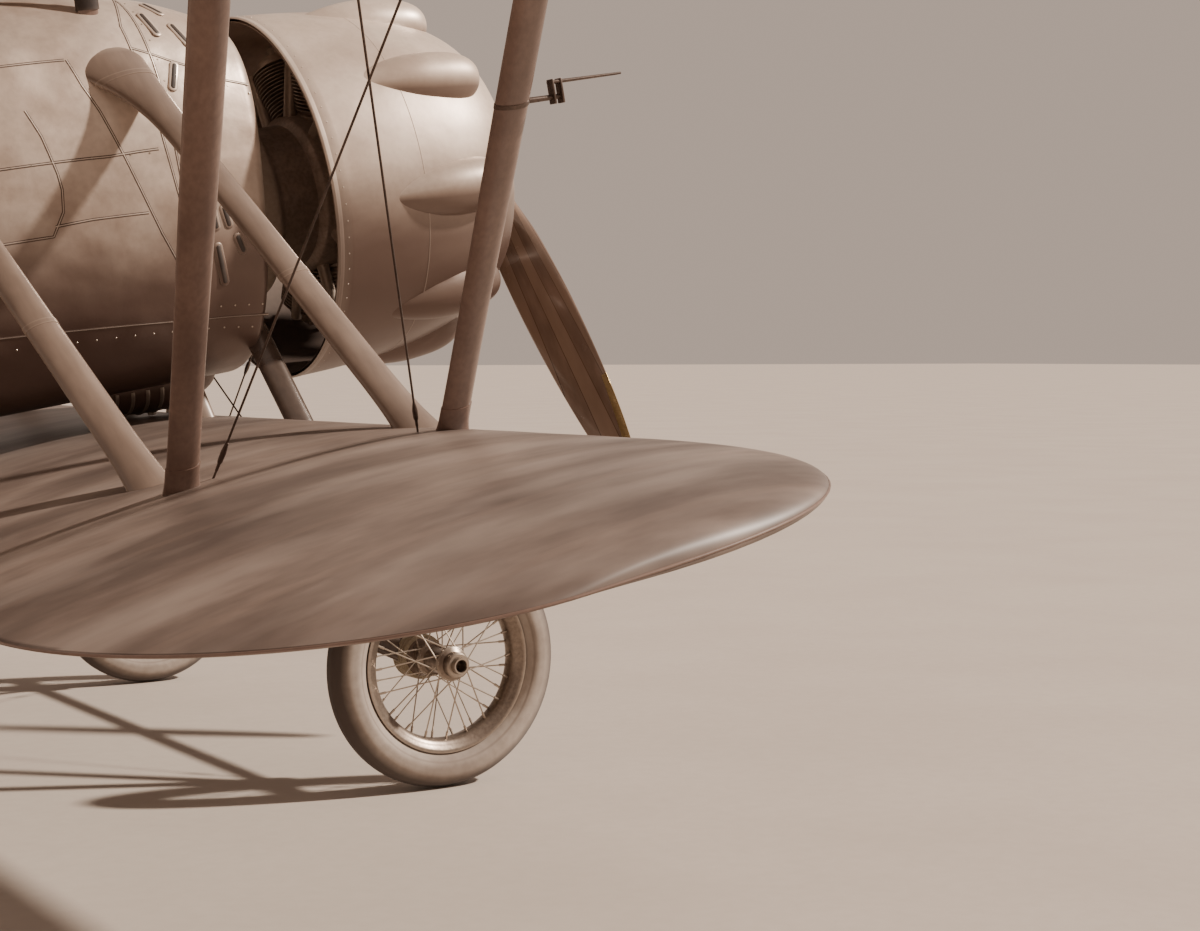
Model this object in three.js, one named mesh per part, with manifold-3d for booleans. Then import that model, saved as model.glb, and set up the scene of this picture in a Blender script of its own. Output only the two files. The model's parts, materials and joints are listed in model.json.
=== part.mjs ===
// Single-bay biplane with a round engine cowl, parked on two wire wheels and a tail skid. Millimetres.
// Everything is placed along the thrust line: +X forward, +Y to port, +Z up, zero in the middle of the
// cowl's rear rim. The whole aircraft is then pitched nose-up and set down on the ground.
import * as THREE from 'three';
import { mergeVertices } from 'three/addons/utils/BufferGeometryUtils.js';
import Module from 'manifold-3d';

const wasm = await Module();
wasm.setup();

// Driving dimensions
const parkedPitch = THREE.MathUtils.degToRad(10.5);
const seatGap = 0.3;          // between pieces that rest on each other
const runGap = 7;             // between a moving surface and what it swings past
const ribGap = 12;            // between an aileron's ends and the ribs beside it
const pinGap = 0.5;           // round a pin or shaft
const wheelRadius = 335;
const wheelTrack = 2120;
const axlePlace = { x: -175, z: -1273 };
const wallThickness = 14;

const noseFront = -140;       // front face of the fuselage
const noseRear = -1000;
const cockpitRear = -2600;
const sternPost = -4690;

const cowlLength = 720;
const cowlRadius = 550;
const propellerPlane = 800;
const propellerRadius = 1200;

// Wings: incidence is the slope of the chord line, rise the dihedral's slope.
const lowerWing = { nose: -247, chord: 1438, thick: 0.075, camber: 0.018, span: 3225, tip: 902,
  base: -649, rise: 0.0032, incidence: 0.0232 };
const upperWing = { nose: -400, chord: 1430, thick: 0.08, camber: 0.022, span: 4250, tip: 902,
  base: 890, rise: Math.tan(THREE.MathUtils.degToRad(2)), incidence: 0 };
const wingTip = { widest: 0.54, fullFront: 3.2, fullRear: 1.93, drop: 12 };
const centreHalf = 600;       // half-width of the upper centre section
const frontSpar = 0.082;      // shares of the chord
const rearSpar = 0.551;
const strutFoot = 1630;       // distance of the lower strut nodes from the centreline
const strutTop = 3005;

const aileron = { inner: 2350, outer: 3780, hinge: 0.77, nose: 30 };

const tail = { plane: 268, nose: -3960, hinge: -4560, halfSpan: 1250, tube: 13, elevatorHalf: 16 };
const rudderPost = { x: -4735, radius: 17, foot: -165, head: 905 };

const paint = {
  cowl: { color: 0xd9cdb8, roughness: 0.45, metalness: 0.35 },
  panel: { color: 0xcdbda4, roughness: 0.5, metalness: 0.3 },
  fabric: { color: 0x8a6d55, roughness: 0.7, metalness: 0 },
  mottled: { color: 0x74533f, roughness: 0.55, metalness: 0 },
  darkWood: { color: 0x45281d, roughness: 0.4, metalness: 0 },
  paleStrut: { color: 0xcbb59c, roughness: 0.45, metalness: 0.1 },
  steel: { color: 0x777068, roughness: 0.4, metalness: 0.8 },
  tyre: { color: 0xb5a48e, roughness: 0.85, metalness: 0 },
  wood: { color: 0x7c4f2e, roughness: 0.35, metalness: 0 },
  leather: { color: 0x4b3327, roughness: 0.7, metalness: 0 },
  glass: { color: 0xd8e0dc, roughness: 0.1, metalness: 0 },
};

const aircraft = new THREE.Group();
aircraft.rotation.y = -parkedPitch;

function add(name, solid, finish) {
  const geometry = solid.isBufferGeometry ? solid : geometryFrom(solid);
  const mesh = new THREE.Mesh(geometry, new THREE.MeshStandardMaterial(paint[finish]));
  mesh.name = name;
  aircraft.add(mesh);
}

// Solids for joining and cutting

function solidFrom(geometry) {
  const bare = geometry.clone();
  bare.deleteAttribute('normal');
  bare.deleteAttribute('uv');
  const merged = mergeVertices(bare, 1e-3);
  const corners = merged.index.array;
  const faces = [];
  for (let i = 0; i < corners.length; i += 3) {
    const [a, b, c] = [corners[i], corners[i + 1], corners[i + 2]];
    if (a !== b && b !== c && c !== a) faces.push(a, b, c);
  }
  return new wasm.Manifold(new wasm.Mesh({
    numProp: 3,
    vertProperties: new Float32Array(merged.attributes.position.array),
    triVerts: new Uint32Array(faces),
  }));
}

function geometryFrom(solid) {
  const mesh = solid.getMesh();
  const geometry = new THREE.BufferGeometry();
  geometry.setAttribute('position', new THREE.BufferAttribute(new Float32Array(mesh.vertProperties), 3));
  geometry.setIndex(new THREE.BufferAttribute(new Uint32Array(mesh.triVerts), 1));
  geometry.computeVertexNormals();
  return geometry;
}

function join(...solids) {
  return solids.reduce((whole, next) => whole.add(next));
}

// A piece trimmed where it meets its neighbour, with the resting gap left on the side it comes from.
function seat(piece, neighbour, side) {
  return piece.subtract(neighbour.translate(side.map((way) => way * seatGap)));
}

function box(low, high) {
  const size = high.map((value, axis) => value - low[axis]);
  const middle = high.map((value, axis) => (value + low[axis]) / 2);
  return solidFrom(new THREE.BoxGeometry(...size).translate(...middle));
}

// A round bar between two points, with its own radius at each end.
function rod(from, to, radius, sides = 12, endRadius = radius) {
  const start = new THREE.Vector3(...from);
  const run = new THREE.Vector3(...to).sub(start);
  const geometry = new THREE.CylinderGeometry(endRadius, radius, run.length(), sides);
  geometry.translate(0, run.length() / 2, 0);
  geometry.applyQuaternion(new THREE.Quaternion().setFromUnitVectors(new THREE.Vector3(0, 1, 0), run.normalize()));
  geometry.translate(...from);
  return solidFrom(geometry);
}

// A turned piece about the thrust line or a line beside it: profile rows are [along X, radius].
function turned(profile, sides) {
  const points = profile.map(([along, radius]) => new THREE.Vector2(radius, along));
  const geometry = new THREE.LatheGeometry(points, sides);
  geometry.rotateZ(-Math.PI / 2);
  return outward(geometry);
}

function signedVolume(points, faces) {
  let sum = 0;
  for (let i = 0; i < faces.length; i += 3) {
    const [a, b, c] = [points[faces[i]], points[faces[i + 1]], points[faces[i + 2]]];
    sum += a.dot(b.clone().cross(c));
  }
  return sum;
}

function outward(geometry) {
  const solid = solidFrom(geometry);
  if (solid.volume() > 0) return solid;
  const index = geometry.index.array;
  for (let i = 0; i < index.length; i += 3) [index[i], index[i + 1]] = [index[i + 1], index[i]];
  return solidFrom(geometry);
}

// A closed skin through rings of points that are listed the same way round, with an end cap on each.
// The two sides are split into triangles as mirror images, so paired pieces seat alike.
function loft(rings) {
  const around = rings[0].length;
  const points = rings.flat();
  const faces = [];
  for (let row = 0; row + 1 < rings.length; row += 1) {
    for (let i = 0; i < around; i += 1) {
      const a = row * around + i;
      const b = row * around + (i + 1) % around;
      const toPort = points[a].y + points[b].y > 0;
      if (toPort) faces.push(a, b, b + around, a, b + around, a + around);
      else faces.push(a, b, a + around, b, b + around, a + around);
    }
  }
  const capAt = (ring, first, flip) => {
    const middle = ring.reduce((sum, point) => sum.add(point), new THREE.Vector3()).divideScalar(around);
    const centre = points.push(middle) - 1;
    for (let i = 0; i < around; i += 1) {
      const [a, b] = [first + i, first + (i + 1) % around];
      faces.push(centre, ...(flip ? [b, a] : [a, b]));
    }
  };
  capAt(rings[0], 0, true);
  capAt(rings[rings.length - 1], (rings.length - 1) * around, false);
  if (signedVolume(points, faces) < 0) faces.reverse();
  const geometry = new THREE.BufferGeometry().setFromPoints(points);
  geometry.setIndex(faces);
  return solidFrom(geometry);
}

function mirrored(solid) {
  return solid.mirror([0, 1, 0]);
}

// Both sides of a paired piece: made to starboard, mirrored to port.
function addPair(name, starboard, finish) {
  add(`${name}_right`, starboard, finish);
  add(`${name}_left`, mirrored(starboard), finish);
}

// Struts

// Streamlined bar. Sections are {at, chord, thick, back}: at is the share of the way from one end to the
// other, back how far the section sits behind the line.
function strut(from, to, sections, sides = 14) {
  const start = new THREE.Vector3(...from);
  const run = new THREE.Vector3(...to).sub(start);
  const along = run.clone().normalize();
  const forward = new THREE.Vector3(1, 0, 0);
  forward.addScaledVector(along, -forward.dot(along)).normalize();
  const across = along.clone().cross(forward);
  return loft(sections.map(({ at, chord, thick, back = 0 }) => {
    const middle = start.clone().addScaledVector(run, at).addScaledVector(forward, -back);
    return Array.from({ length: sides }, (_, i) => {
      const angle = (i / sides) * 2 * Math.PI;
      const taper = 0.82 + 0.18 * Math.cos(angle);
      return middle.clone()
        .addScaledVector(forward, (chord / 2) * Math.cos(angle))
        .addScaledVector(across, (thick / 2) * Math.sin(angle) * taper);
    });
  }));
}

// Wings

const sectionPoints = 28;

// One wing section: share of the chord from the nose, and height above the chord line in chords.
function sectionAt(i, thick, camber) {
  const angle = ((i + 0.5) / sectionPoints) * 2 * Math.PI;
  const reach = Math.cos(Math.PI / sectionPoints);
  const back = (1 + Math.cos(angle) / reach) / 2;
  const half = 5 * thick * (0.2969 * Math.sqrt(back) - 0.126 * back - 0.3516 * back ** 2
    + 0.2843 * back ** 3 - 0.1015 * back ** 4);
  return { back, height: 4 * camber * back * (1 - back) + Math.sign(Math.sin(angle)) * half };
}

// A point on the section's middle line
function wingPoint(wing, y, back) {
  const camber = 4 * wing.camber * back * (1 - back) * wing.chord;
  const slope = wing.incidence * (0.5 - back) * wing.chord;
  return { x: wing.nose - back * wing.chord, z: wing.base + Math.abs(y) * wing.rise + camber + slope };
}

// One ring of the starboard wing. Out runs from 0 where the rounded tip starts to 1 at its end.
const edgeHalf = 3;
function wingRing(wing, y, out = 0) {
  const { widest, fullFront, fullRear, drop } = wingTip;
  const widestX = wing.nose - wing.chord * widest;
  const front = widestX + wing.chord * widest * (1 - out ** fullFront) ** (1 / fullFront);
  const rear = widestX - wing.chord * (1 - widest) * (1 - out ** fullRear) ** (1 / fullRear);
  const thin = ((front - rear) / wing.chord) ** 0.85;
  return Array.from({ length: sectionPoints }, (_, i) => {
    const { back, height } = sectionAt(i, wing.thick, wing.camber);
    const x = THREE.MathUtils.lerp(front, rear, back);
    const edge = (i + 0.5 < sectionPoints / 2 ? 1 : -1) * edgeHalf * back;
    const slope = wing.incidence * (x - wing.nose + wing.chord / 2);
    const z = wing.base + y * wing.rise + height * wing.chord * thin + edge + slope - drop * out ** 1.5;
    return new THREE.Vector3(x, -y, z);
  });
}

function wingSkin(wing, inner, outer, tipAngles) {
  const tipStart = wing.span - wing.tip;
  const rings = [wingRing(wing, inner)];
  if (outer > tipStart) {
    rings.push(wingRing(wing, tipStart));
    tipAngles.forEach((degrees) => {
      const out = Math.sin(THREE.MathUtils.degToRad(degrees));
      rings.push(wingRing(wing, tipStart + wing.tip * out, out));
    });
  } else {
    rings.push(wingRing(wing, outer));
  }
  return loft(rings);
}

const tipAngles = [18, 34, 48, 60, 71, 80, 86];
const lowerSkin = wingSkin(lowerWing, seatGap / 2, lowerWing.span, tipAngles);
const upperSkin = wingSkin(upperWing, centreHalf + seatGap, upperWing.span, tipAngles);

// Aileron: the panel's rear part between two ribs, with a round nose on the hinge line.
const hingeInner = wingPoint(upperWing, aileron.inner, aileron.hinge);
const hingeOuter = wingPoint(upperWing, aileron.outer, aileron.hinge);
const hingeAt = (y) => {
  const share = (y - aileron.inner) / (aileron.outer - aileron.inner);
  return [hingeInner.x, -y, THREE.MathUtils.lerp(hingeInner.z, hingeOuter.z, share)];
};
const wingDepth = 400;
const notchFront = hingeInner.x + aileron.nose + runGap;
const notch = box([notchFront - 700, -aileron.outer, upperWing.base - wingDepth],
  [notchFront, -aileron.inner, upperWing.base + wingDepth]);
const aileronBlank = box([hingeInner.x - 700, -aileron.outer + ribGap, upperWing.base - wingDepth],
  [hingeInner.x, -aileron.inner - ribGap, upperWing.base + wingDepth]);
const aileronPin = 9;
const aileronSolid = join(
  upperSkin.intersect(aileronBlank),
  rod(hingeAt(aileron.inner + ribGap), hingeAt(aileron.outer - ribGap), aileron.nose, 16),
  rod(hingeAt(aileron.inner + seatGap), hingeAt(aileron.outer - seatGap), aileronPin, 12),
);
addPair('upper_wing', upperSkin.subtract(notch), 'mottled');
addPair('aileron', aileronSolid, 'mottled');
addPair('lower_wing', lowerSkin, 'mottled');

// Centre section, with a round cut-out over the cockpit
const cutOutRadius = 270;
const centreBlank = join(wingSkin(upperWing, 0, centreHalf, []), mirrored(wingSkin(upperWing, 0, centreHalf, [])));
const centreTail = upperWing.nose - upperWing.chord;
const cutOut = rod([centreTail - 60, 0, upperWing.base - wingDepth], [centreTail - 60, 0, upperWing.base + wingDepth],
  cutOutRadius, 32);
add('upper_wing_centre', centreBlank.subtract(cutOut), 'mottled');

// Fuselage

// Sections along the thrust line: x, half-width, top, bottom, how square the oval is, and how far the
// section leans forward with height.
const fuselageSections = [
  { x: noseFront, half: 420, top: 535, bottom: -490, square: 2.8, lean: 0.11 },
  { x: -350, half: 446, top: 628, bottom: -490, square: 2.7 },
  { x: -620, half: 460, top: 662, bottom: -488, square: 2.6 },
  { x: noseRear, half: 458, top: 666, bottom: -486, square: 2.5 },
  { x: -1500, half: 446, top: 652, bottom: -480, square: 2.5 },
  { x: -2050, half: 420, top: 610, bottom: -458, square: 2.4 },
  { x: cockpitRear, half: 376, top: 552, bottom: -422, square: 2.3 },
  { x: -3300, half: 274, top: 420, bottom: -354, square: 2.15 },
  { x: -3960, half: 168, top: 262, bottom: -290, square: 2 },
  { x: -4400, half: 92, top: 232, bottom: -242, square: 2 },
  { x: sternPost, half: 26, top: 214, bottom: -205, square: 2 },
];
const fuselageSides = 32;

function ovalRing({ x, half, top, bottom, square, lean = 0 }, inset = 0) {
  const middle = (top + bottom) / 2;
  return Array.from({ length: fuselageSides }, (_, i) => {
    const angle = ((i + 0.5) / fuselageSides) * 2 * Math.PI;
    const [across, up] = [Math.cos(angle), Math.sin(angle)];
    const reach = (Math.abs(across) ** square + Math.abs(up) ** square) ** (-1 / square);
    const height = middle + ((top - bottom) / 2 - inset) * up * reach;
    return new THREE.Vector3(x + lean * height, (half - inset) * across * reach, height);
  });
}

function fuselageBay(front, rear, inset = 0, overrun = 0) {
  const rows = fuselageSections.filter(({ x }) => x <= front && x >= rear);
  const rings = rows.map((row) => ovalRing(row, inset));
  rings[0].forEach((point) => { point.x += overrun; });
  rings[rings.length - 1].forEach((point) => { point.x -= overrun; });
  return loft(rings);
}

const noseBay = fuselageBay(noseFront, noseRear);
const cockpitBay = fuselageBay(noseRear, cockpitRear);
const cockpitRoom = fuselageBay(noseRear, cockpitRear, wallThickness, 50);
const tailBay = fuselageBay(cockpitRear, sternPost);
const fuselageBody = fuselageBay(noseFront, sternPost);

const noseTrimmed = noseBay.subtract(box([noseRear - 10, -600, -600], [noseRear + seatGap, 600, 800]));
add('fuselage_nose', noseTrimmed, 'panel');

const cockpit = { x: -2170, length: 640, width: 520 };
const cockpitHole = solidFrom(new THREE.CylinderGeometry(1, 1, 700, 36)
  .rotateX(Math.PI / 2).scale(cockpit.length / 2, cockpit.width / 2, 1).translate(cockpit.x, 0, 550));
add('fuselage_cockpit', cockpitBay.subtract(cockpitRoom).subtract(cockpitHole), 'fabric');

const skidRoot = { x: -4330, z: -235 };
const rudderLug = box([rudderPost.x - 22, -16, rudderPost.foot - 24], [sternPost + 60, 16, rudderPost.foot - seatGap]);
const tailTrimmed = tailBay.subtract(box([cockpitRear - seatGap, -600, -600], [cockpitRear + 10, 600, 800]));
add('fuselage_tail', join(tailTrimmed, rudderLug), 'fabric');

// Faired headrest on the rear deck: sections are x, half-width and height of its crown.
const headrestSections = [
  { x: cockpitRear - 12, half: 105, crown: 700 },
  { x: cockpitRear - 180, half: 100, crown: 690 },
  { x: cockpitRear - 520, half: 70, crown: 560 },
  { x: cockpitRear - 860, half: 24, crown: 392 },
];
const headrest = loft(headrestSections.map(({ x, half, crown }) => {
  const base = 280;
  return Array.from({ length: 16 }, (_, i) => {
    const angle = ((i + 0.5) / 16) * 2 * Math.PI;
    return new THREE.Vector3(x, half * Math.cos(angle), (crown + base) / 2 + ((crown - base) / 2) * Math.sin(angle));
  });
}));
add('headrest', seat(headrest, tailBay, [0, 0, 1]), 'leather');

// Cockpit fittings
const seatPlace = { x: -2300, z: -110, half: 190, deep: 340, back: 420 };
const seatPan = box([seatPlace.x - 150, -seatPlace.half, seatPlace.z], [seatPlace.x + 190, seatPlace.half, seatPlace.z + 25]);
const seatBack = box([seatPlace.x - 175, -seatPlace.half, seatPlace.z], [seatPlace.x - 150, seatPlace.half, seatPlace.z + seatPlace.back]);
const seatSides = [-1, 1].map((side) => box(
  [seatPlace.x - 150, side > 0 ? seatPlace.half - 20 : -seatPlace.half, seatPlace.z],
  [seatPlace.x + 120, side > 0 ? seatPlace.half : -seatPlace.half + 20, seatPlace.z + 130]));
const seatPost = box([seatPlace.x - 60, -60, -600], [seatPlace.x + 60, 60, seatPlace.z + 5]);
const roomInside = fuselageBay(noseRear, cockpitRear, wallThickness + seatGap, 50);
add('seat', join(seatPan, seatBack, ...seatSides, seatPost).intersect(roomInside), 'leather');

const panelFront = -1880;
const dashboard = roomInside.intersect(box([panelFront - 14, -600, 190], [panelFront, 600, 700]));
add('instrument_panel', dashboard, 'wood');

const stickFoot = [-2010, 0, -600];
const stick = join(rod(stickFoot, [-2060, 0, 140], 13), rod([-2010, 0, -600], [-2012, 0, -395], 45),
  solidFrom(new THREE.TorusGeometry(48, 10, 6, 14).rotateY(Math.PI / 2).translate(-2062, 0, 180)));
add('control_column', stick.intersect(roomInside), 'steel');

// Windscreen: a thin curved sheet, cut from one tapering body by a smaller one that is open to the rear.
const screen = { foot: { z: 540, x: -1880, half: 235, bulge: 70 }, top: { z: 835, x: -1970, half: 175, bulge: 60 } };
const screenWall = 6;
function screenBody(inset, overrun) {
  const ringAt = (share) => {
    const [z, x, half, bulge] = ['z', 'x', 'half', 'bulge'].map((size) => (
      THREE.MathUtils.lerp(screen.foot[size], screen.top[size], share)));
    const arc = Array.from({ length: 13 }, (_, i) => {
      const swing = ((i / 12) * 2 - 1) * (Math.PI / 2.4);
      return new THREE.Vector3(x + (bulge - inset) * Math.cos(swing), (half - inset) * Math.sin(swing), z);
    });
    const behind = [arc[12], arc[0]].map((end) => end.clone().setX(x - 80));
    return inset ? [...arc, ...behind] : arc;
  };
  return loft([ringAt(-overrun), ringAt(1 + overrun)]);
}
const windscreen = screenBody(0, 0).subtract(screenBody(screenWall, 0.1));
add('windscreen', seat(windscreen, fuselageBody, [0, 0, 1]), 'glass');

// Engine cowl

// Outer outline from the rear rim forwards: x and radius.
const cowlOutline = [[0, cowlRadius], [150, 547], [300, 536], [430, 516], [540, 486], [630, 446], [690, 400],
  [cowlLength, 355]];
const cowlSides = 40;
const cowlWall = 12;
const mouthRadius = 318;
function cowlBody(inset, frontRadius) {
  const rows = cowlOutline.map(([x, radius]) => [x - inset * (x / cowlLength), radius - inset]);
  const front = rows[rows.length - 1][0];
  return turned([[0 - (inset ? 60 : 0), 0], [0 - (inset ? 60 : 0), rows[0][1]], ...rows.slice(inset ? 0 : 1),
    [front, frontRadius], [front, 0]], cowlSides);
}
const cowlOuter = cowlBody(0, 320);
const cowlInner = cowlBody(cowlWall, 250);
const cowlMouth = turned([[500, 0], [500, mouthRadius], [800, mouthRadius], [800, 0]], cowlSides);

// Teardrop blisters over the cylinder heads: nine, blunt end forward, each tilted inwards towards its nose.
const blister = { count: 9, first: 16, tail: 50, long: 565, wide: 86, ride: 515, tilt: 4.5 };
const blisterOutline = [[0, 0], [0.16, 0.26], [0.4, 0.68], [0.68, 0.98], [0.85, 0.95], [0.95, 0.66], [1, 0]];
function blisterAt(degrees) {
  const drop = turned(blisterOutline.map(([at, wide]) => [at * blister.long, wide * blister.wide]), 12);
  return drop.rotate([0, blister.tilt, 0]).translate([blister.tail, 0, blister.ride]).rotate([degrees, 0, 0]);
}
const blisters = Array.from({ length: blister.count }, (_, i) => blisterAt(blister.first + i * 360 / blister.count));
add('engine_cowl', join(cowlOuter, ...blisters).subtract(cowlInner).subtract(cowlMouth), 'cowl');

// Engine: mount drum, crankcase, nine finned cylinders and the propeller shaft
const cylinderPlane = 250;
const shaftRadius = 32;
const crankcase = turned([[-240, 0], [-240, 300], [-60, 300], [0, 215], [120, 215],
  [130, 235], [370, 235], [390, 200], [520, 120], [620, 90], [640, shaftRadius], [propellerPlane + 60, shaftRadius],
  [propellerPlane + 60, 0]], 24);
const barrelOutline = [[180, 62], [262, 62], [276, 86], [306, 86], [318, 62], [346, 62], [362, 92], [430, 92],
  [468, 60]];
const headTop = 536 - cowlWall;
function cylinderAt(degrees) {
  const barrel = turned([[180, 0], ...barrelOutline, [468, 0]], 10);
  const post = turned([[460, 0], [460, 14], [headTop + 20, 14], [headTop + 20, 0]], 6);
  return join(barrel, post).rotate([0, -90, 0]).translate([cylinderPlane, 0, 0]).rotate([degrees, 0, 0]);
}
const cylinders = Array.from({ length: blister.count }, (_, i) => cylinderAt(blister.first + i * 360 / blister.count));
const cowlRoom = cowlBody(cowlWall + seatGap, 250);
const engine = join(crankcase, join(...cylinders).intersect(cowlRoom));
add('engine', seat(engine, noseBay, [1, 0, 0]), 'steel');

// Belly sump under the nose bay
const sump = solidFrom(new THREE.SphereGeometry(1, 16, 8).scale(215, 120, 84).translate(-440, 0, -482));
add('belly_sump', seat(sump, noseBay, [0, 0, -1]), 'panel');

// Propeller: blade stations are radius, chord, thickness and angle to the plane it turns in.
const bladeStations = [
  { radius: 40, chord: 120, thick: 96, angle: 60 },
  { radius: 150, chord: 120, thick: 78, angle: 56 },
  { radius: 330, chord: 165, thick: 40, angle: 42 },
  { radius: 620, chord: 190, thick: 26, angle: 29 },
  { radius: 900, chord: 172, thick: 18, angle: 22 },
  { radius: 1100, chord: 122, thick: 12, angle: 18 },
  { radius: propellerRadius - 12, chord: 60, thick: 8, angle: 16 },
  { radius: propellerRadius, chord: 26, thick: 6, angle: 16 },
];
const bladeSides = 14;
const bladeLean = -32;         // stopped with the upper blade leaning to port
const blade = loft(bladeStations.map(({ radius, chord, thick, angle }) => {
  const turn = THREE.MathUtils.degToRad(angle);
  return Array.from({ length: bladeSides }, (_, i) => {
    const round = (i / bladeSides) * 2 * Math.PI;
    const [wide, deep] = [(chord / 2) * Math.cos(round), (thick / 2) * Math.sin(round)];
    return new THREE.Vector3(propellerPlane + wide * Math.sin(turn) + deep * Math.cos(turn),
      wide * Math.cos(turn) - deep * Math.sin(turn), radius);
  });
}));
const bossHalf = 62;
const boss = turned([[propellerPlane - bossHalf, 0], [propellerPlane - bossHalf, 105], [propellerPlane + bossHalf, 105],
  [propellerPlane + bossHalf, 0]], 28);
const hubBore = 48;
const boreRadius = hubBore + 2 * pinGap;
const bore = turned([[600, 0], [600, boreRadius], [1100, boreRadius], [1100, 0]], 24);
const blades = join(boss, blade, blade.rotate([180, 0, 0])).subtract(bore).rotate([bladeLean, 0, 0]);
add('propeller', blades, 'wood');

const plateRadius = 80;
const hubBody = turned([[propellerPlane - bossHalf - 14, 0], [propellerPlane - bossHalf - 14, plateRadius],
  [propellerPlane - bossHalf - seatGap, plateRadius], [propellerPlane - bossHalf - seatGap, hubBore],
  [propellerPlane + bossHalf + seatGap, hubBore], [propellerPlane + bossHalf + seatGap, plateRadius],
  [propellerPlane + bossHalf + 12, plateRadius], [propellerPlane + bossHalf + 14, 40],
  [propellerPlane + bossHalf + 48, 34], [propellerPlane + bossHalf + 48, 0]], 24);
const shaftBore = turned([[600, 0], [600, shaftRadius + pinGap], [propellerPlane + 60 + runGap, shaftRadius + pinGap],
  [propellerPlane + 60 + runGap, 0]], 24);
add('propeller_hub', hubBody.subtract(shaftBore), 'steel');

// Interplane and diagonal struts

const sparFoot = (share) => wingPoint(lowerWing, strutFoot, share);
const sparTop = (share) => wingPoint(upperWing, strutTop, share);
const straightStrut = [
  { at: 0, chord: 104, thick: 62 }, { at: 0.045, chord: 76, thick: 38 }, { at: 0.5, chord: 80, thick: 38 },
  { at: 0.96, chord: 76, thick: 38 }, { at: 1, chord: 90, thick: 50 },
];
const flaredStrut = [
  { at: 0, chord: 128, thick: 84 }, { at: 0.07, chord: 100, thick: 60 }, { at: 0.16, chord: 90, thick: 52 },
  { at: 0.78, chord: 90, thick: 52 }, { at: 0.9, chord: 132, thick: 64, back: 16 }, { at: 1, chord: 250, thick: 92, back: 62 },
];
const shoulderY = 360;
const strutStand = 95;        // sideways room between the two struts at one wing node
[['front', frontSpar, -478, 440], ['rear', rearSpar, -1130, 397]].forEach(([place, share, shoulderX, shoulderZ]) => {
  const foot = sparFoot(share);
  const top = sparTop(share);
  const upright = strut([foot.x, -strutFoot - 12, foot.z], [top.x, -strutTop, top.z], straightStrut);
  const seated = seat(seat(upright, lowerSkin, [0, 0, 1]), upperSkin, [0, 0, -1]);
  addPair(`interplane_strut_${place}`, seated, 'darkWood');
  const diagonal = strut([foot.x + 4, -strutFoot + strutStand, foot.z], [shoulderX, -shoulderY, shoulderZ], flaredStrut, 18);
  addPair(`diagonal_strut_${place}`, seat(seat(diagonal, lowerSkin, [0, 0, 1]), fuselageBody, [0, -1, 0]), 'paleStrut');
});

// Crossed incidence wires between the front and rear interplane struts
const wireRadius = 4;
const wireStand = 75;
function wireBetween(lowShare, highShare, lowShift, highShift) {
  const low = sparFoot(lowShare);
  const high = sparTop(highShare);
  return rod([low.x + lowShift, -strutFoot - 12, low.z], [high.x + highShift, -strutTop, high.z], wireRadius, 6);
}
const wires = join(wireBetween(frontSpar, rearSpar, -wireStand, wireStand),
  wireBetween(rearSpar, frontSpar, wireStand, -wireStand));
addPair('incidence_wires', seat(seat(wires, lowerSkin, [0, 0, 1]), upperSkin, [0, 0, -1]), 'steel');

// Cabane frames: two uprights and a slant each side, joined at the foot of the rear one
const cabaneBar = [{ at: 0, chord: 60, thick: 30 }, { at: 1, chord: 60, thick: 30 }];
const cabaneTop = (share) => [wingPoint(upperWing, 330, share).x, -330, wingPoint(upperWing, 330, share).z];
const cabaneFront = [-520, -290, 500];
const cabaneRear = [-1120, -290, 500];
const cabane = join(strut(cabaneFront, cabaneTop(frontSpar), cabaneBar),
  strut(cabaneRear, cabaneTop(rearSpar), cabaneBar),
  strut([cabaneRear[0], -294, cabaneRear[2] + 80], [cabaneTop(frontSpar)[0], -328, cabaneTop(frontSpar)[2] - 30], cabaneBar));
addPair('cabane_frame', seat(seat(cabane, fuselageBody, [0, 0, 1]), centreBlank, [0, 0, -1]), 'darkWood');

// Short struts that hold the fuselage above the lower wing, and the undercarriage
const propBar = [{ at: 0, chord: 64, thick: 34 }, { at: 1, chord: 64, thick: 34 }];
[['front', frontSpar + 0.03], ['rear', rearSpar]].forEach(([place, share]) => {
  const foot = wingPoint(lowerWing, 320, share);
  const bar = strut([foot.x, -340, foot.z], [foot.x, -210, -400], propBar);
  addPair(`wing_root_strut_${place}`, seat(seat(bar, lowerSkin, [0, 0, 1]), fuselageBody, [0, 0, -1]), 'paleStrut');
});

const axleRadius = 22;
const axleEnd = wheelTrack / 2 + 105;
const legEnd = 925;
const legBar = [{ at: 0, chord: 82, thick: 40 }, { at: 1, chord: 82, thick: 40 }];
const wingUnder = wingPoint(lowerWing, 450, rearSpar);
const legFoot = [axlePlace.x, -legEnd, axlePlace.z];
const axle = rod([axlePlace.x, -axleEnd, axlePlace.z], [axlePlace.x, axleEnd, axlePlace.z], axleRadius, 24);
const axleRoom = rod([axlePlace.x, -axleEnd, axlePlace.z], [axlePlace.x, axleEnd, axlePlace.z], axleRadius + pinGap, 24);
const frontLeg = strut([axlePlace.x - 10, -legEnd, axlePlace.z + 10], [-182, -250, -360], legBar);
const rearLeg = strut(legFoot, [wingUnder.x, -450, wingUnder.z], legBar);
const socketHalf = 38;
const legSocket = rod([axlePlace.x, -legEnd - socketHalf, axlePlace.z], [axlePlace.x, -legEnd + socketHalf, axlePlace.z],
  52, 20);
const wingCover = join(lowerSkin, mirrored(lowerSkin));
const gearLegs = join(seat(frontLeg, noseBay, [0, 0, -1]), seat(rearLeg, wingCover, [0, 0, -1]), legSocket);
addPair('gear_legs', gearLegs.subtract(axleRoom), 'paleStrut');
add('axle', axle, 'steel');

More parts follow.
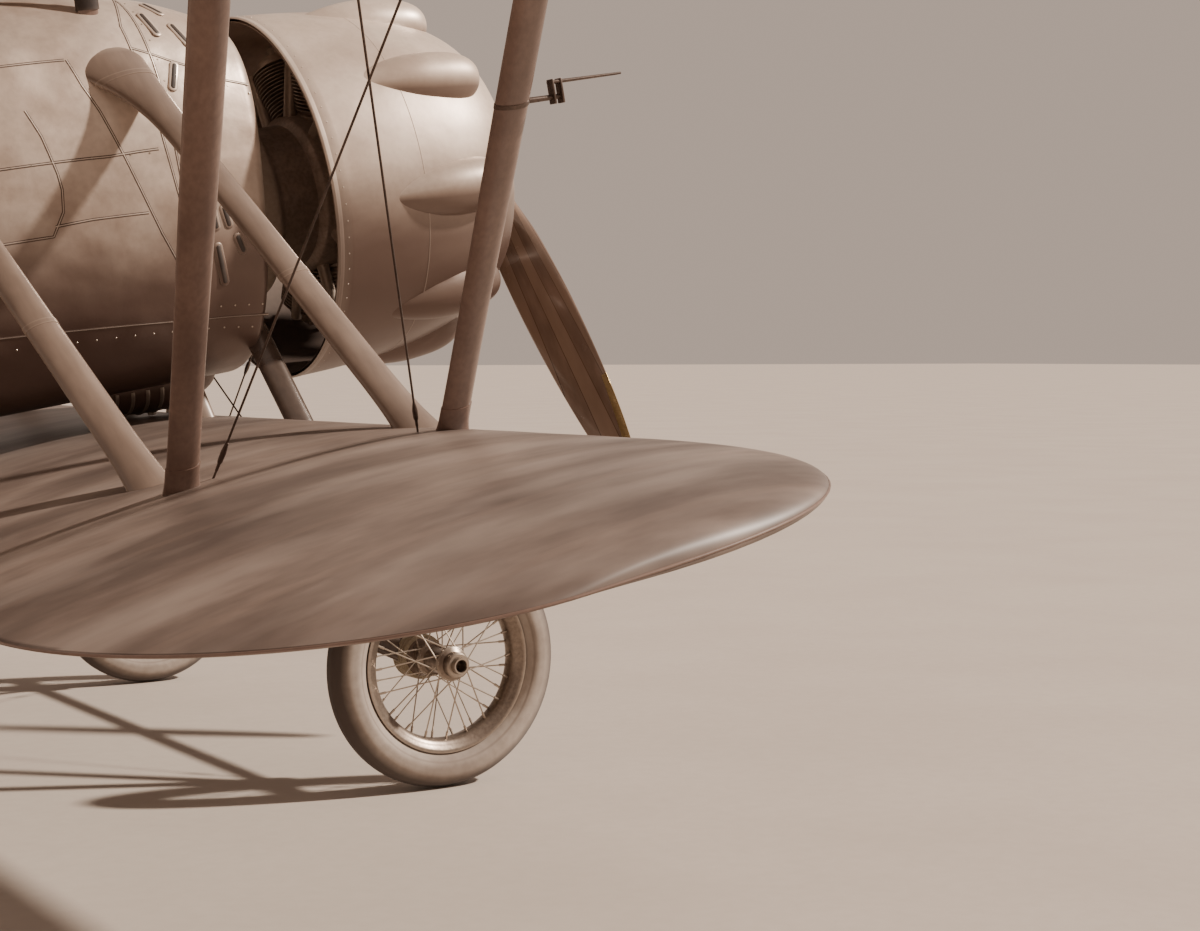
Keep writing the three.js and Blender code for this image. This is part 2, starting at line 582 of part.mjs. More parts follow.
// Wheels
const tyreSection = 52;
const tyreCentre = wheelRadius - tyreSection;
const rimRadius = 233;
const rimDepth = 30;
const rimHalf = 38;
const tyreProfile = Array.from({ length: 11 }, (_, i) => {
  const angle = THREE.MathUtils.lerp(-0.94 * Math.PI, 0.94 * Math.PI, i / 10);
  return [tyreSection * Math.sin(angle), Math.max(tyreCentre + tyreSection * Math.cos(angle), rimRadius + seatGap)];
});
const wheelSides = 36;
const wheelPlace = (solid) => solid.rotate([0, 0, 90]).translate([axlePlace.x, -wheelTrack / 2, axlePlace.z]);
const tyre = turned([...tyreProfile, tyreProfile[0]], wheelSides);
const rim = turned([[-rimHalf, rimRadius - rimDepth], [-rimHalf, rimRadius], [rimHalf, rimRadius],
  [rimHalf, rimRadius - rimDepth], [-rimHalf, rimRadius - rimDepth]], wheelSides);
const hubHalf = 90;
const flange = { radius: 46, face: 52 };
// Hub from its middle outwards: distance along the axle and radius
const hubOutline = [[42, 34], [46, flange.radius], [58, flange.radius], [62, 34], [hubHalf, 34], [hubHalf, 0]];
const hub = turned([...hubOutline.map(([along, radius]) => [-along, radius]).reverse(), ...hubOutline], 16);
const spokeCount = 20;
const spokes = Array.from({ length: spokeCount }, (_, i) => {
  const angle = (i / spokeCount) * 2 * Math.PI;
  const lean = angle + (i % 4 < 2 ? 0.55 : -0.55);
  const face = i % 2 ? flange.face : -flange.face;
  return rod([face, (flange.radius - 8) * Math.cos(lean), (flange.radius - 8) * Math.sin(lean)],
    [face * 0.3, (rimRadius - 6) * Math.cos(angle), (rimRadius - 6) * Math.sin(angle)], 3.5, 3);
});
const hubHole = turned([[-200, 0], [-200, axleRadius + pinGap], [200, axleRadius + pinGap], [200, 0]], 24);
addPair('tyre', wheelPlace(tyre), 'tyre');
addPair('wheel', wheelPlace(join(rim, hub, ...spokes).subtract(hubHole)), 'steel');

// Crossed wires between the undercarriage legs
const crossLow = [axlePlace.x - 5, -840, axlePlace.z + 10];
const crossHigh = [axlePlace.x - 5, 230, -380];
const gearWire = rod(crossLow, crossHigh, wireRadius, 6);
add('gear_wires', seat(join(gearWire, mirrored(gearWire)).subtract(axleRoom), noseBay, [0, 0, -1]), 'steel');

// Tail

// A thin tail surface as a plate with rounded edges: outline points are [x, out], swept through its thickness.
function plate(outline, thick) {
  const shape = new THREE.Shape(outline.map(([x, out]) => new THREE.Vector2(x, out)));
  const bevel = thick * 0.3;
  return solidFrom(new THREE.ExtrudeGeometry(shape, { depth: thick - 2 * bevel, bevelEnabled: true,
    bevelThickness: bevel, bevelSize: bevel, bevelOffset: -bevel, bevelSegments: 2 }).translate(0, 0, -(thick / 2 - bevel)));
}

function ellipseCorner(centre, radii, from, to, steps) {
  return Array.from({ length: steps + 1 }, (_, i) => {
    const angle = THREE.MathUtils.degToRad(THREE.MathUtils.lerp(from, to, i / steps));
    return [centre[0] + radii[0] * Math.cos(angle), centre[1] + radii[1] * Math.sin(angle)];
  });
}

const tailThick = 44;
const planeEdge = tail.hinge + tail.elevatorHalf + runGap;
const planeOutline = [[planeEdge, -tail.halfSpan + 30],
  ...ellipseCorner([tail.nose - 420, -tail.halfSpan + 420], [420, 420], -70, 0, 6),
  ...ellipseCorner([tail.nose - 420, tail.halfSpan - 420], [420, 420], 0, 70, 6), [planeEdge, tail.halfSpan - 30]];
const tailplane = plate(planeOutline, tailThick).translate([0, 0, tail.plane]);
const hingeBlocks = [-1, 1].map((side) => box([tail.hinge - 18, side * 95 - 14, tail.plane - 18],
  [planeEdge + 20, side * 95 + 14, tail.plane + 18]));
const tubeRoom = rod([tail.hinge, -130, tail.plane], [tail.hinge, 130, tail.plane], tail.tube + pinGap, 20);
add('tailplane', seat(join(tailplane, ...hingeBlocks).subtract(tubeRoom), tailBay, [0, 0, 1]), 'mottled');

const elevatorInner = 150;
const elevatorRear = -5000;
const elevatorOutline = [[tail.hinge, -elevatorInner], [elevatorRear + 190, -elevatorInner - 150],
  ...ellipseCorner([elevatorRear + 260, -tail.halfSpan + 330], [260, 330], 180, 250, 6), [tail.hinge, -tail.halfSpan + 18]];
const elevatorHalf = join(plate(elevatorOutline, 2 * tail.elevatorHalf).translate([0, 0, tail.plane]),
  rod([tail.hinge, -tail.halfSpan + 30, tail.plane], [tail.hinge, -elevatorInner, tail.plane], tail.elevatorHalf, 16));
const torqueTube = rod([tail.hinge, -elevatorInner - 20, tail.plane], [tail.hinge, elevatorInner + 20, tail.plane], tail.tube, 16);
add('elevator', join(elevatorHalf, mirrored(elevatorHalf), torqueTube), 'mottled');

// Fin and rudder stand upright: outlines are [x, z], stood up by a quarter turn.
const upright = (solid) => solid.rotate([90, 0, 0]);
const finBase = tail.plane + tailThick / 2 + seatGap;
const finRear = rudderPost.x + rudderPost.radius + runGap;
const fin = upright(plate([[finRear, finBase], [finRear, rudderPost.head - 60],
  ...ellipseCorner([finRear - 20, finBase + 40], [560, 540], 80, 10, 6), [-4140, finBase]], 40));
add('fin', fin, 'mottled');

const rudderRear = -5180;
const rudderOutline = [[rudderPost.x, rudderPost.foot + 20], [rudderPost.x, rudderPost.head - 20],
  ...ellipseCorner([rudderPost.x - 170, rudderPost.head - 290], [275, 290], 90, 180, 7),
  ...ellipseCorner([rudderPost.x - 170, rudderPost.foot + 290], [275, 290], 180, 262, 6)];
const rudder = join(upright(plate(rudderOutline, 2 * rudderPost.radius)),
  rod([rudderPost.x, 0, rudderPost.foot], [rudderPost.x, 0, rudderPost.head], rudderPost.radius, 14));
add('rudder', rudder, 'mottled');

const braceBar = [{ at: 0, chord: 46, thick: 22 }, { at: 1, chord: 46, thick: 22 }];
const tailBrace = strut([-4220, -20, -150], [-4270, -780, tail.plane], braceBar);
addPair('tailplane_strut', seat(seat(tailBrace, tailBay, [0, -1, -1]), tailplane, [0, 0, -1]), 'darkWood');

// Tail skid: a wooden bar with a round shoe that stands on the ground
const ringHeight = wheelRadius - axlePlace.x * Math.sin(parkedPitch) - axlePlace.z * Math.cos(parkedPitch);
const groundAt = (x, above) => (above - ringHeight - x * Math.sin(parkedPitch)) / Math.cos(parkedPitch);
const shoe = { x: -4800, radius: 24, half: 40 };
const shoeHeight = groundAt(shoe.x, shoe.radius);
const skidBar = strut([skidRoot.x, 0, skidRoot.z + 60], [shoe.x, 0, shoeHeight], [
  { at: 0, chord: 120, thick: 56 }, { at: 0.5, chord: 90, thick: 50 }, { at: 1, chord: 40, thick: 44 }]);
const skidShoe = rod([shoe.x, -shoe.half, shoeHeight], [shoe.x, shoe.half, shoeHeight], shoe.radius, 24);
add('tail_skid', join(seat(skidBar, tailBay, [0, 0, -1]), skidShoe), 'darkWood');

// Pitot head on the right front interplane strut
const pitotShare = 0.455;
const pitotArm = 122;
const probe = { rear: 96, front: 270, above: 30 };
const frontFoot = sparFoot(frontSpar);
const frontTop = sparTop(frontSpar);
const pitotAt = ['x', 'z'].map((axis) => THREE.MathUtils.lerp(frontFoot[axis], frontTop[axis], pitotShare));
const pitotOut = -THREE.MathUtils.lerp(strutFoot + 12, strutTop, pitotShare);
const pitot = join(rod([pitotAt[0], pitotOut, pitotAt[1]], [pitotAt[0] + pitotArm, pitotOut, pitotAt[1]], 9, 10),
  rod([pitotAt[0] + probe.rear, pitotOut, pitotAt[1] + probe.above],
    [pitotAt[0] + probe.front, pitotOut, pitotAt[1] + probe.above], 7, 10),
  box([pitotAt[0] + probe.rear, pitotOut - 11, pitotAt[1] - 14],
    [pitotAt[0] + pitotArm, pitotOut + 11, pitotAt[1] + probe.above + 6]));
const pitotStrut = strut([frontFoot.x, -strutFoot - 12, frontFoot.z], [frontTop.x, -strutTop, frontTop.z], straightStrut);
add('pitot_head', seat(pitot, pitotStrut, [1, 0, 0]), 'steel');

// Parked: pitched nose-up, wheels and skid on the ground, middle of the length over the origin.
aircraft.position.z = ringHeight;
const reach = new THREE.Box3().setFromObject(aircraft, true);
aircraft.position.x = -(reach.min.x + reach.max.x) / 2;
const biplane = new THREE.Group();
biplane.add(aircraft);

export default biplane;
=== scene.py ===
import bpy
import bmesh
import json
import math
from mathutils import Matrix, Vector


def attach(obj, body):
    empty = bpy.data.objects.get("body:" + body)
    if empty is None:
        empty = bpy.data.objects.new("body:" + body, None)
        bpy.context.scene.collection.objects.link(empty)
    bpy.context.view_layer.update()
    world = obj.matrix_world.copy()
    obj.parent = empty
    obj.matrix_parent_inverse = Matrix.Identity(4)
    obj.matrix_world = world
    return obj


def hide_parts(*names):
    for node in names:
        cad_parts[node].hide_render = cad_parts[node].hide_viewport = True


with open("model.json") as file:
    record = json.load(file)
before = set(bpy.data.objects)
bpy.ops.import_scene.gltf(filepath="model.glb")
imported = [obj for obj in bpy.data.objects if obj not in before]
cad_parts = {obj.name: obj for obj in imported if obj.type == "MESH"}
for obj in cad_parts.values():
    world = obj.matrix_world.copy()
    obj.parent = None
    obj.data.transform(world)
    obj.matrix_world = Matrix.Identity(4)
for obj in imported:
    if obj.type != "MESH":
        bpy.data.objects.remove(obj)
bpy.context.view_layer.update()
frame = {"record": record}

tau = 2 * math.pi

# Most pieces are made along the thrust line: x forward, y to port, z up, zero at the cowl's rear rim.
joints = {joint["name"]: joint for joint in frame["record"]["behaviour"]["joints"]}
thrust = Vector(joints["propeller_spin"]["axis"]).normalized()
propellerAhead = 0.8
pitch = math.atan2(thrust.z, thrust.x)
rimCentre = Vector(joints["propeller_spin"]["pos_m"]) - thrust * propellerAhead
craft = Matrix.Translation(rimCentre) @ Matrix.Rotation(-pitch, 4, "Y")
wheelCentre = Vector(joints["wheel_spin_right"]["pos_m"])
axlePlace = craft.inverted() @ wheelCentre
levelRim = craft.to_3x3().inverted() @ rimCentre   # the cowl's rim, where the finishes' patterns are read

# Camera at the photograph's angle, then floor and lights
view = {"eye": (wheelCentre.x - 2.66, -5.81, 1.15), "ahead": (0.5547, 0.8322), "down": 3.08,
        "focal": 2050 / 1200, "sensor": 36}
camera = bpy.data.objects.new("camera", bpy.data.cameras.new("camera"))
bpy.context.collection.objects.link(camera)
camera.data.sensor_width = view["sensor"]
camera.data.lens = view["sensor"] * view["focal"]
camera.location = view["eye"]
gaze = Vector((*view["ahead"], -math.tan(math.radians(view["down"]))))
camera.rotation_euler = gaze.to_track_quat("-Z", "Y").to_euler()
bpy.context.scene.camera = camera

studio = {"floor": 400, "sky": (1, 0.79, 0.66), "skyLight": 0.5,
          "sun": 6.4, "sunSpread": 3, "sunFrom": (0.9, -0.42, 0.8), "sunColor": (1, 0.89, 0.78)}
bpy.ops.mesh.primitive_plane_add(size=studio["floor"])
floor = bpy.context.object
floor.name = "floor"
world = bpy.data.worlds.new("studio")
world.use_nodes = True
world.node_tree.nodes["Background"].inputs["Color"].default_value = (*studio["sky"], 1)
world.node_tree.nodes["Background"].inputs["Strength"].default_value = studio["skyLight"]
bpy.context.scene.world = world
sun = bpy.data.objects.new("sun", bpy.data.lights.new("sun", "SUN"))
sun.data.energy = studio["sun"]
sun.data.angle = math.radians(studio["sunSpread"])
sun.data.color = studio["sunColor"]
sun.rotation_euler = Vector(studio["sunFrom"]).to_track_quat("Z", "Y").to_euler()
bpy.context.collection.objects.link(sun)
print("camera, floor and lights are set")


# Finishes

def noiseOf(tree, vector, scale, detail=4):
    noise = tree.nodes.new("ShaderNodeTexNoise")
    noise.inputs["Scale"].default_value = scale
    noise.inputs["Detail"].default_value = detail
    tree.links.new(vector, noise.inputs["Vector"])
    return noise.outputs["Fac"]


def spreadOf(tree, value, low, high, least=0.0, most=1.0):
    spread = tree.nodes.new("ShaderNodeMapRange")
    for name, number in (("From Min", low), ("From Max", high), ("To Min", least), ("To Max", most)):
        spread.inputs[name].default_value = number
    tree.links.new(value, spread.inputs["Value"])
    return spread.outputs["Result"]


def mixOf(tree, share, first, second):
    mix = tree.nodes.new("ShaderNodeMix")
    mix.data_type = "RGBA"
    tree.links.new(share, mix.inputs[0])
    for place, colour in ((6, first), (7, second)):
        if isinstance(colour, tuple):
            mix.inputs[place].default_value = (*colour, 1)
        else:
            tree.links.new(colour, mix.inputs[place])
    return mix.outputs[2]


def scaledOf(tree, vector, scale):
    scaled = tree.nodes.new("ShaderNodeVectorMath")
    scaled.operation = "MULTIPLY"
    tree.links.new(vector, scaled.inputs[0])
    scaled.inputs[1].default_value = scale
    return scaled.outputs[0]


def mathOf(tree, operation, first, second=0.0):
    step = tree.nodes.new("ShaderNodeMath")
    step.operation = operation
    for place, value in ((0, first), (1, second)):
        if isinstance(value, (int, float)):
            step.inputs[place].default_value = value
        else:
            tree.links.new(value, step.inputs[place])
    return step.outputs[0]


def partsOf(tree, vector):
    split = tree.nodes.new("ShaderNodeSeparateXYZ")
    tree.links.new(vector, split.inputs[0])
    return split.outputs


# How far a point is from the nearest of evenly spaced lines
def gapToLines(tree, value, spacing, shift=0.0):
    share = mathOf(tree, "FRACT", mathOf(tree, "ADD", mathOf(tree, "DIVIDE", value, spacing), 0.5 + shift))
    return mathOf(tree, "MULTIPLY", mathOf(tree, "ABSOLUTE", mathOf(tree, "SUBTRACT", share, 0.5)), spacing)


def makeFinish(name, look, pattern=None):
    material = bpy.data.materials.new(name)
    material.use_nodes = True
    tree = material.node_tree
    shader = tree.nodes["Principled BSDF"]
    level = tree.nodes.new("ShaderNodeMapping")
    level.inputs["Rotation"].default_value = (0, pitch, 0)
    tree.links.new(tree.nodes.new("ShaderNodeTexCoord").outputs["Object"], level.inputs["Vector"])
    place = level.outputs["Vector"]
    patches = noiseOf(tree, scaledOf(tree, place, look.get("patchStretch", (1, 1, 1))), look["patches"], 6)
    grain = noiseOf(tree, scaledOf(tree, place, look.get("grainStretch", (1, 1, 1))), look["grain"], 3)
    colour = mixOf(tree, spreadOf(tree, patches, 0.34, 0.66), look["pale"], look["dark"])
    colour = mixOf(tree, spreadOf(tree, grain, 0.35, 0.75, 0, look["grainShare"]), colour, look["deep"])
    height = mathOf(tree, "ADD", mathOf(tree, "MULTIPLY", grain, 0.6), mathOf(tree, "MULTIPLY", patches, 0.4))
    if pattern:
        colour, height = pattern(tree, place, colour, height)
    if "worn" in look:
        shape = tree.nodes.new("ShaderNodeNewGeometry")
        edges = spreadOf(tree, shape.outputs["Pointiness"], 0.52, 0.6, 0, look.get("wornShare", 0.6))
        colour = mixOf(tree, edges, colour, look["worn"])
    tree.links.new(colour, shader.inputs["Base Color"])
    tree.links.new(spreadOf(tree, patches, 0.3, 0.7, *look["rough"]), shader.inputs["Roughness"])
    shader.inputs["Metallic"].default_value = look.get("metal", 0)
    shader.inputs["Coat Weight"].default_value = look.get("coat", 0)
    shader.inputs["Coat Roughness"].default_value = look.get("coatRough", 0.2)
    shader.inputs["Sheen Weight"].default_value = look.get("sheen", 0)
    bump = tree.nodes.new("ShaderNodeBump")
    bump.inputs["Strength"].default_value = look.get("bump", 0.2)
    bump.inputs["Distance"].default_value = look.get("depth", 0.002)
    tree.links.new(height, bump.inputs["Height"])
    tree.links.new(bump.outputs["Normal"], shader.inputs["Normal"])
    return material


# Tapes over the ribs, and broad smears and blotches of the varnish
def ribTapes(tree, place, colour, height):
    gap = gapToLines(tree, partsOf(tree, place)[1], wingLook["ribPitch"])
    tape = spreadOf(tree, gap, wingLook["tape"], wingLook["tape"] - 0.003, 0, 0.14)
    blots = noiseOf(tree, scaledOf(tree, place, (1, 1.7, 1)), 1.5, 3)
    smears = noiseOf(tree, scaledOf(tree, place, (0.8, 2.2, 0.8)), 2.4, 4)
    colour = mixOf(tree, spreadOf(tree, blots, 0.42, 0.62, 0, 0.66), colour, (0.058, 0.038, 0.031))
    colour = mixOf(tree, spreadOf(tree, smears, 0.46, 0.74, 0, 0.52), colour, (0.4, 0.32, 0.275))
    colour = mixOf(tree, tape, colour, (0.26, 0.18, 0.14))
    return colour, mathOf(tree, "ADD", height, mathOf(tree, "MULTIPLY", tape, 1.4))


# Glued layers of a carved propeller
def layers(tree, place, colour, height):
    gap = gapToLines(tree, partsOf(tree, place)[0], 0.042)
    colour = mixOf(tree, spreadOf(tree, gap, 0.0095, 0.0115, 0, 0.45), colour, (0.3, 0.205, 0.15))
    line = spreadOf(tree, mathOf(tree, "ABSOLUTE", mathOf(tree, "SUBTRACT", gap, 0.0105)), 0.0006, 0.0003)
    return mixOf(tree, line, colour, (0.07, 0.035, 0.02)), height


# Pale sidewalls, with a dark band round the tread: partly the tread's own colour, partly painted shade
def treadAndShade(tree, place, colour, height):
    across, out, up = partsOf(tree, place)
    centre = craft.to_3x3().inverted() @ wheelCentre
    reach = mathOf(tree, "SQRT", mathOf(tree, "ADD",
                   mathOf(tree, "POWER", mathOf(tree, "SUBTRACT", across, centre.x), 2.0),
                   mathOf(tree, "POWER", mathOf(tree, "SUBTRACT", up, centre.z), 2.0)))
    worn = noiseOf(tree, place, 38, 4)
    edge = mathOf(tree, "ADD", reach, mathOf(tree, "MULTIPLY", worn, 0.006))
    # Dark outer band, partly the tread's colour and partly painted shade
    colour = mixOf(tree, spreadOf(tree, edge, 0.298, 0.322, 0, 0.94), colour, (0.055, 0.038, 0.032))
    bead = spreadOf(tree, mathOf(tree, "ABSOLUTE", mathOf(tree, "SUBTRACT", reach, 0.262)), 0.004, 0.001, 0, 0.6)
    return mixOf(tree, bead, colour, (0.2, 0.15, 0.12)), mathOf(tree, "ADD", height, bead)


# Bare metal rubbed bright in places, darker towards its lower half (partly oil thrown back, partly painted shade), with
# painted shade on faces that point down
def oiledAndShaded(tree, place, colour, height):
    rub = noiseOf(tree, scaledOf(tree, place, (1.6, 1, 1)), 7, 4)
    colour = mixOf(tree, spreadOf(tree, rub, 0.48, 0.75, 0, 0.4), colour, (0.82, 0.69, 0.58))
    clouds = noiseOf(tree, place, 3.2, 5)
    colour = mixOf(tree, spreadOf(tree, clouds, 0.5, 0.72, 0, 0.5), colour, (0.3, 0.2, 0.15))
    # Darker towards the bottom: partly an oil film, partly painted shade on the lower half
    oilFilmAndShade = mathOf(tree, "SUBTRACT", mathOf(tree, "MULTIPLY", noiseOf(tree, scaledOf(tree, place, (0.8, 2, 2)), 1.9, 5), 0.55),
                  mathOf(tree, "SUBTRACT", partsOf(tree, place)[2], levelRim.z))
    # Painted shade: faces that point down are darkened by how far their normal points down
    normalUpForShade = partsOf(tree, tree.nodes.new("ShaderNodeNewGeometry").outputs["Normal"])[2]
    colour = mixOf(tree, spreadOf(tree, normalUpForShade, 0.1, -0.32, 0, 0.84), colour, (0.125, 0.08, 0.063))
    dents = noiseOf(tree, scaledOf(tree, place, (1, 1, 1.4)), 6.5, 1)
    height = mathOf(tree, "ADD", height, mathOf(tree, "MULTIPLY", dents, 16.0))
    return mixOf(tree, spreadOf(tree, oilFilmAndShade, 0.16, 0.5, 0, 0.86), colour, (0.095, 0.055, 0.042)), height


# The inside of the cowl, darker towards its bottom: painted shade
def paintedShadeInside(tree, place, colour, height):
    depth = mathOf(tree, "SUBTRACT", levelRim.z, partsOf(tree, place)[2])
    return mixOf(tree, spreadOf(tree, depth, 0.12, 0.4, 0, 0.92), colour, (0.03, 0.018, 0.014)), height


def pebbled(tree, place, colour, height):
    cells = tree.nodes.new("ShaderNodeTexVoronoi")
    cells.inputs["Scale"].default_value = 320
    tree.links.new(place, cells.inputs["Vector"])
    crease = spreadOf(tree, cells.outputs["Distance"], 0.25, 0.7)
    return mixOf(tree, crease, colour, (0.06, 0.035, 0.02)), mathOf(tree, "SUBTRACT", height, crease)


def woven(tree, place, colour, height):
    across, out, up = partsOf(tree, place)
    run = mathOf(tree, "ADD", across, up)
    warp = mathOf(tree, "SINE", mathOf(tree, "MULTIPLY", run, 2400))
    weft = mathOf(tree, "SINE", mathOf(tree, "MULTIPLY", out, 2400))
    thread = mathOf(tree, "MULTIPLY", warp, weft)
    return mixOf(tree, spreadOf(tree, thread, 0, 1, 0, 0.5), colour, (0.2, 0.14, 0.09)), mathOf(tree, "ADD", height, thread)


wingLook = {"ribPitch": 0.31, "tape": 0.017, "sag": 0.0012}
finishes = {
    "cowlMetal": makeFinish("cowl_metal", {"pale": (0.76, 0.63, 0.53), "dark": (0.6, 0.48, 0.39), "deep": (0.36, 0.26, 0.2),
        "patches": 2.4, "grain": 60, "grainShare": 0.2, "rough": (0.32, 0.48), "metal": 0.3,
        "bump": 0.08, "worn": (0.86, 0.76, 0.67), "wornShare": 0.3}, oiledAndShaded),
    "panelMetal": makeFinish("panel_metal", {"pale": (0.74, 0.61, 0.51), "dark": (0.43, 0.32, 0.25), "deep": (0.26, 0.18, 0.14),
        "patches": 3.4, "grain": 50, "grainShare": 0.25, "rough": (0.34, 0.5), "metal": 0.34,
        "bump": 0.3, "worn": (0.8, 0.7, 0.6), "wornShare": 0.4}, oiledAndShaded),
    "fuselageSkin": makeFinish("fuselage_skin", {"pale": (0.36, 0.26, 0.2), "dark": (0.24, 0.165, 0.125), "deep": (0.13, 0.083, 0.06),
        "patches": 2, "grain": 46, "grainStretch": (0.12, 1, 1), "grainShare": 0.5, "rough": (0.36, 0.55), "coat": 0.25,
        "bump": 0.2, "worn": (0.46, 0.37, 0.3)}),
    "wingSkin": makeFinish("wing_skin", {"pale": (0.26, 0.193, 0.16), "dark": (0.15, 0.108, 0.088), "deep": (0.07, 0.047, 0.039),
        "patches": 2.6, "patchStretch": (0.8, 1.5, 1), "grain": 30, "grainStretch": (0.5, 1.3, 1), "grainShare": 0.35,
        "rough": (0.4, 0.56), "coat": 0.25, "coatRough": 0.42, "bump": 0.12}, ribTapes),
    "darkWood": makeFinish("dark_wood", {"pale": (0.22, 0.145, 0.115), "dark": (0.155, 0.098, 0.077), "deep": (0.085, 0.05, 0.039),
        "patches": 5, "patchStretch": (2, 2, 0.4), "grain": 60, "grainStretch": (1.6, 1.6, 0.08), "grainShare": 0.35,
        "rough": (0.28, 0.44), "coat": 0.4, "coatRough": 0.2, "bump": 0.15, "worn": (0.2, 0.12, 0.09)}),
    "paleStrut": makeFinish("pale_strut", {"pale": (0.3, 0.222, 0.177), "dark": (0.205, 0.146, 0.114), "deep": (0.11, 0.075, 0.058),
        "patches": 4, "grain": 50, "grainStretch": (1, 0.2, 0.2), "grainShare": 0.35, "rough": (0.26, 0.4), "metal": 0.1,
        "coat": 0.5, "bump": 0.12, "worn": (0.5, 0.4, 0.32)}),
    "gearPaint": makeFinish("gear_paint", {"pale": (0.12, 0.083, 0.065), "dark": (0.078, 0.053, 0.041), "deep": (0.04, 0.026, 0.02),
        "patches": 5, "grain": 60, "grainStretch": (1, 1, 0.2), "grainShare": 0.4, "rough": (0.22, 0.34), "metal": 0.3,
        "coat": 0.7, "bump": 0.12, "worn": (0.4, 0.31, 0.25)}),
    "bladeWood": makeFinish("blade_wood", {"pale": (0.225, 0.148, 0.11), "dark": (0.145, 0.092, 0.067), "deep": (0.07, 0.042, 0.03),
        "patches": 4, "grain": 44, "grainStretch": (1.5, 0.3, 0.1), "grainShare": 0.5, "rough": (0.2, 0.32), "coat": 0.6,
        "coatRough": 0.1, "bump": 0.1}, layers),
    "panelWood": makeFinish("panel_wood", {"pale": (0.28, 0.14, 0.07), "dark": (0.18, 0.085, 0.042), "deep": (0.08, 0.035, 0.018),
        "patches": 5, "grain": 60, "grainStretch": (1, 0.12, 1), "grainShare": 0.6, "rough": (0.25, 0.4), "coat": 0.6,
        "bump": 0.12, "worn": (0.4, 0.26, 0.15)}),
    "engineMetal": makeFinish("engine_metal", {"pale": (0.42, 0.32, 0.26), "dark": (0.27, 0.2, 0.155), "deep": (0.1, 0.07, 0.055),
        "patches": 9, "grain": 90, "grainShare": 0.5, "rough": (0.36, 0.6), "metal": 0.4, "bump": 0.3, "worn": (0.44, 0.36, 0.29)}),
    "steel": makeFinish("steel", {"pale": (0.33, 0.27, 0.22), "dark": (0.2, 0.155, 0.125), "deep": (0.1, 0.07, 0.055),
        "patches": 12, "grain": 120, "grainShare": 0.5, "rough": (0.26, 0.44), "metal": 0.8, "bump": 0.15,
        "worn": (0.56, 0.48, 0.4)}),
    "wireSteel": makeFinish("wire_steel", {"pale": (0.13, 0.09, 0.072), "dark": (0.075, 0.05, 0.04), "deep": (0.03, 0.02, 0.015),
        "patches": 20, "grain": 150, "grainShare": 0.5, "rough": (0.3, 0.5), "metal": 0.5, "bump": 0.1}),
    "tyre": makeFinish("tyre", {"pale": (0.4, 0.335, 0.285), "dark": (0.27, 0.215, 0.178), "deep": (0.15, 0.112, 0.09),
        "patches": 5, "grain": 48, "grainShare": 0.3, "rough": (0.62, 0.85), "sheen": 0.1, "bump": 0.2}, treadAndShade),
    "leather": makeFinish("leather", {"pale": (0.16, 0.085, 0.055), "dark": (0.1, 0.052, 0.034), "deep": (0.045, 0.022, 0.014),
        "patches": 9, "grain": 60, "grainShare": 0.5, "rough": (0.42, 0.6), "coat": 0.1, "bump": 0.35, "depth": 0.0008,
        "worn": (0.28, 0.17, 0.11)}, pebbled),
    "webbing": makeFinish("webbing", {"pale": (0.5, 0.42, 0.3), "dark": (0.38, 0.31, 0.21), "deep": (0.2, 0.15, 0.1),
        "patches": 20, "grain": 160, "grainShare": 0.4, "rough": (0.75, 0.9), "sheen": 0.3, "bump": 0.4, "depth": 0.0006}, woven),
    "brass": makeFinish("brass", {"pale": (0.5, 0.36, 0.18), "dark": (0.36, 0.25, 0.12), "deep": (0.18, 0.11, 0.05),
        "patches": 24, "grain": 160, "grainShare": 0.4, "rough": (0.24, 0.42), "metal": 0.9, "bump": 0.1}),
    # Dark enamel, also used as the painted shade in the louvre slots
    "darkEnamelAndShade": makeFinish("dark_enamel_and_shade", {"pale": (0.05, 0.033, 0.026), "dark": (0.028, 0.018, 0.014), "deep": (0.012, 0.008, 0.006),
        "patches": 12, "grain": 80, "grainShare": 0.5, "rough": (0.45, 0.7), "bump": 0.15, "worn": (0.12, 0.085, 0.065)}),
    # Dark grime finish, also used as the painted shade along the nose seams
    "grimeAndShade": makeFinish("seam_grime_and_shade", {"pale": (0.12, 0.075, 0.057), "dark": (0.075, 0.045, 0.034), "deep": (0.04, 0.024, 0.018),
        "patches": 16, "grain": 90, "grainShare": 0.5, "rough": (0.6, 0.8), "bump": 0.1}),
    # Liner metal, darker towards the bottom as painted shade
    "linerMetal": makeFinish("liner_metal", {"pale": (0.46, 0.34, 0.27), "dark": (0.34, 0.24, 0.19), "deep": (0.2, 0.14, 0.11),
        "patches": 5, "grain": 60, "grainShare": 0.3, "rough": (0.5, 0.7), "bump": 0.1}, paintedShadeInside),
    "dialFace": makeFinish("dial_face", {"pale": (0.75, 0.72, 0.64), "dark": (0.66, 0.62, 0.53), "deep": (0.5, 0.44, 0.35),
        "patches": 30, "grain": 200, "grainShare": 0.25, "rough": (0.4, 0.5), "bump": 0.05}),
}
glass = makeFinish("glass", {"pale": (0.9, 0.93, 0.9), "dark": (0.84, 0.88, 0.84), "deep": (0.7, 0.72, 0.66),
    "patches": 6, "grain": 60, "grainShare": 0.08, "rough": (0.03, 0.08), "bump": 0.02})
glass.node_tree.nodes["Principled BSDF"].inputs["Transmission Weight"].default_value = 0.92
glass.node_tree.nodes["Principled BSDF"].inputs["IOR"].default_value = 1.45
finishes["glass"] = glass
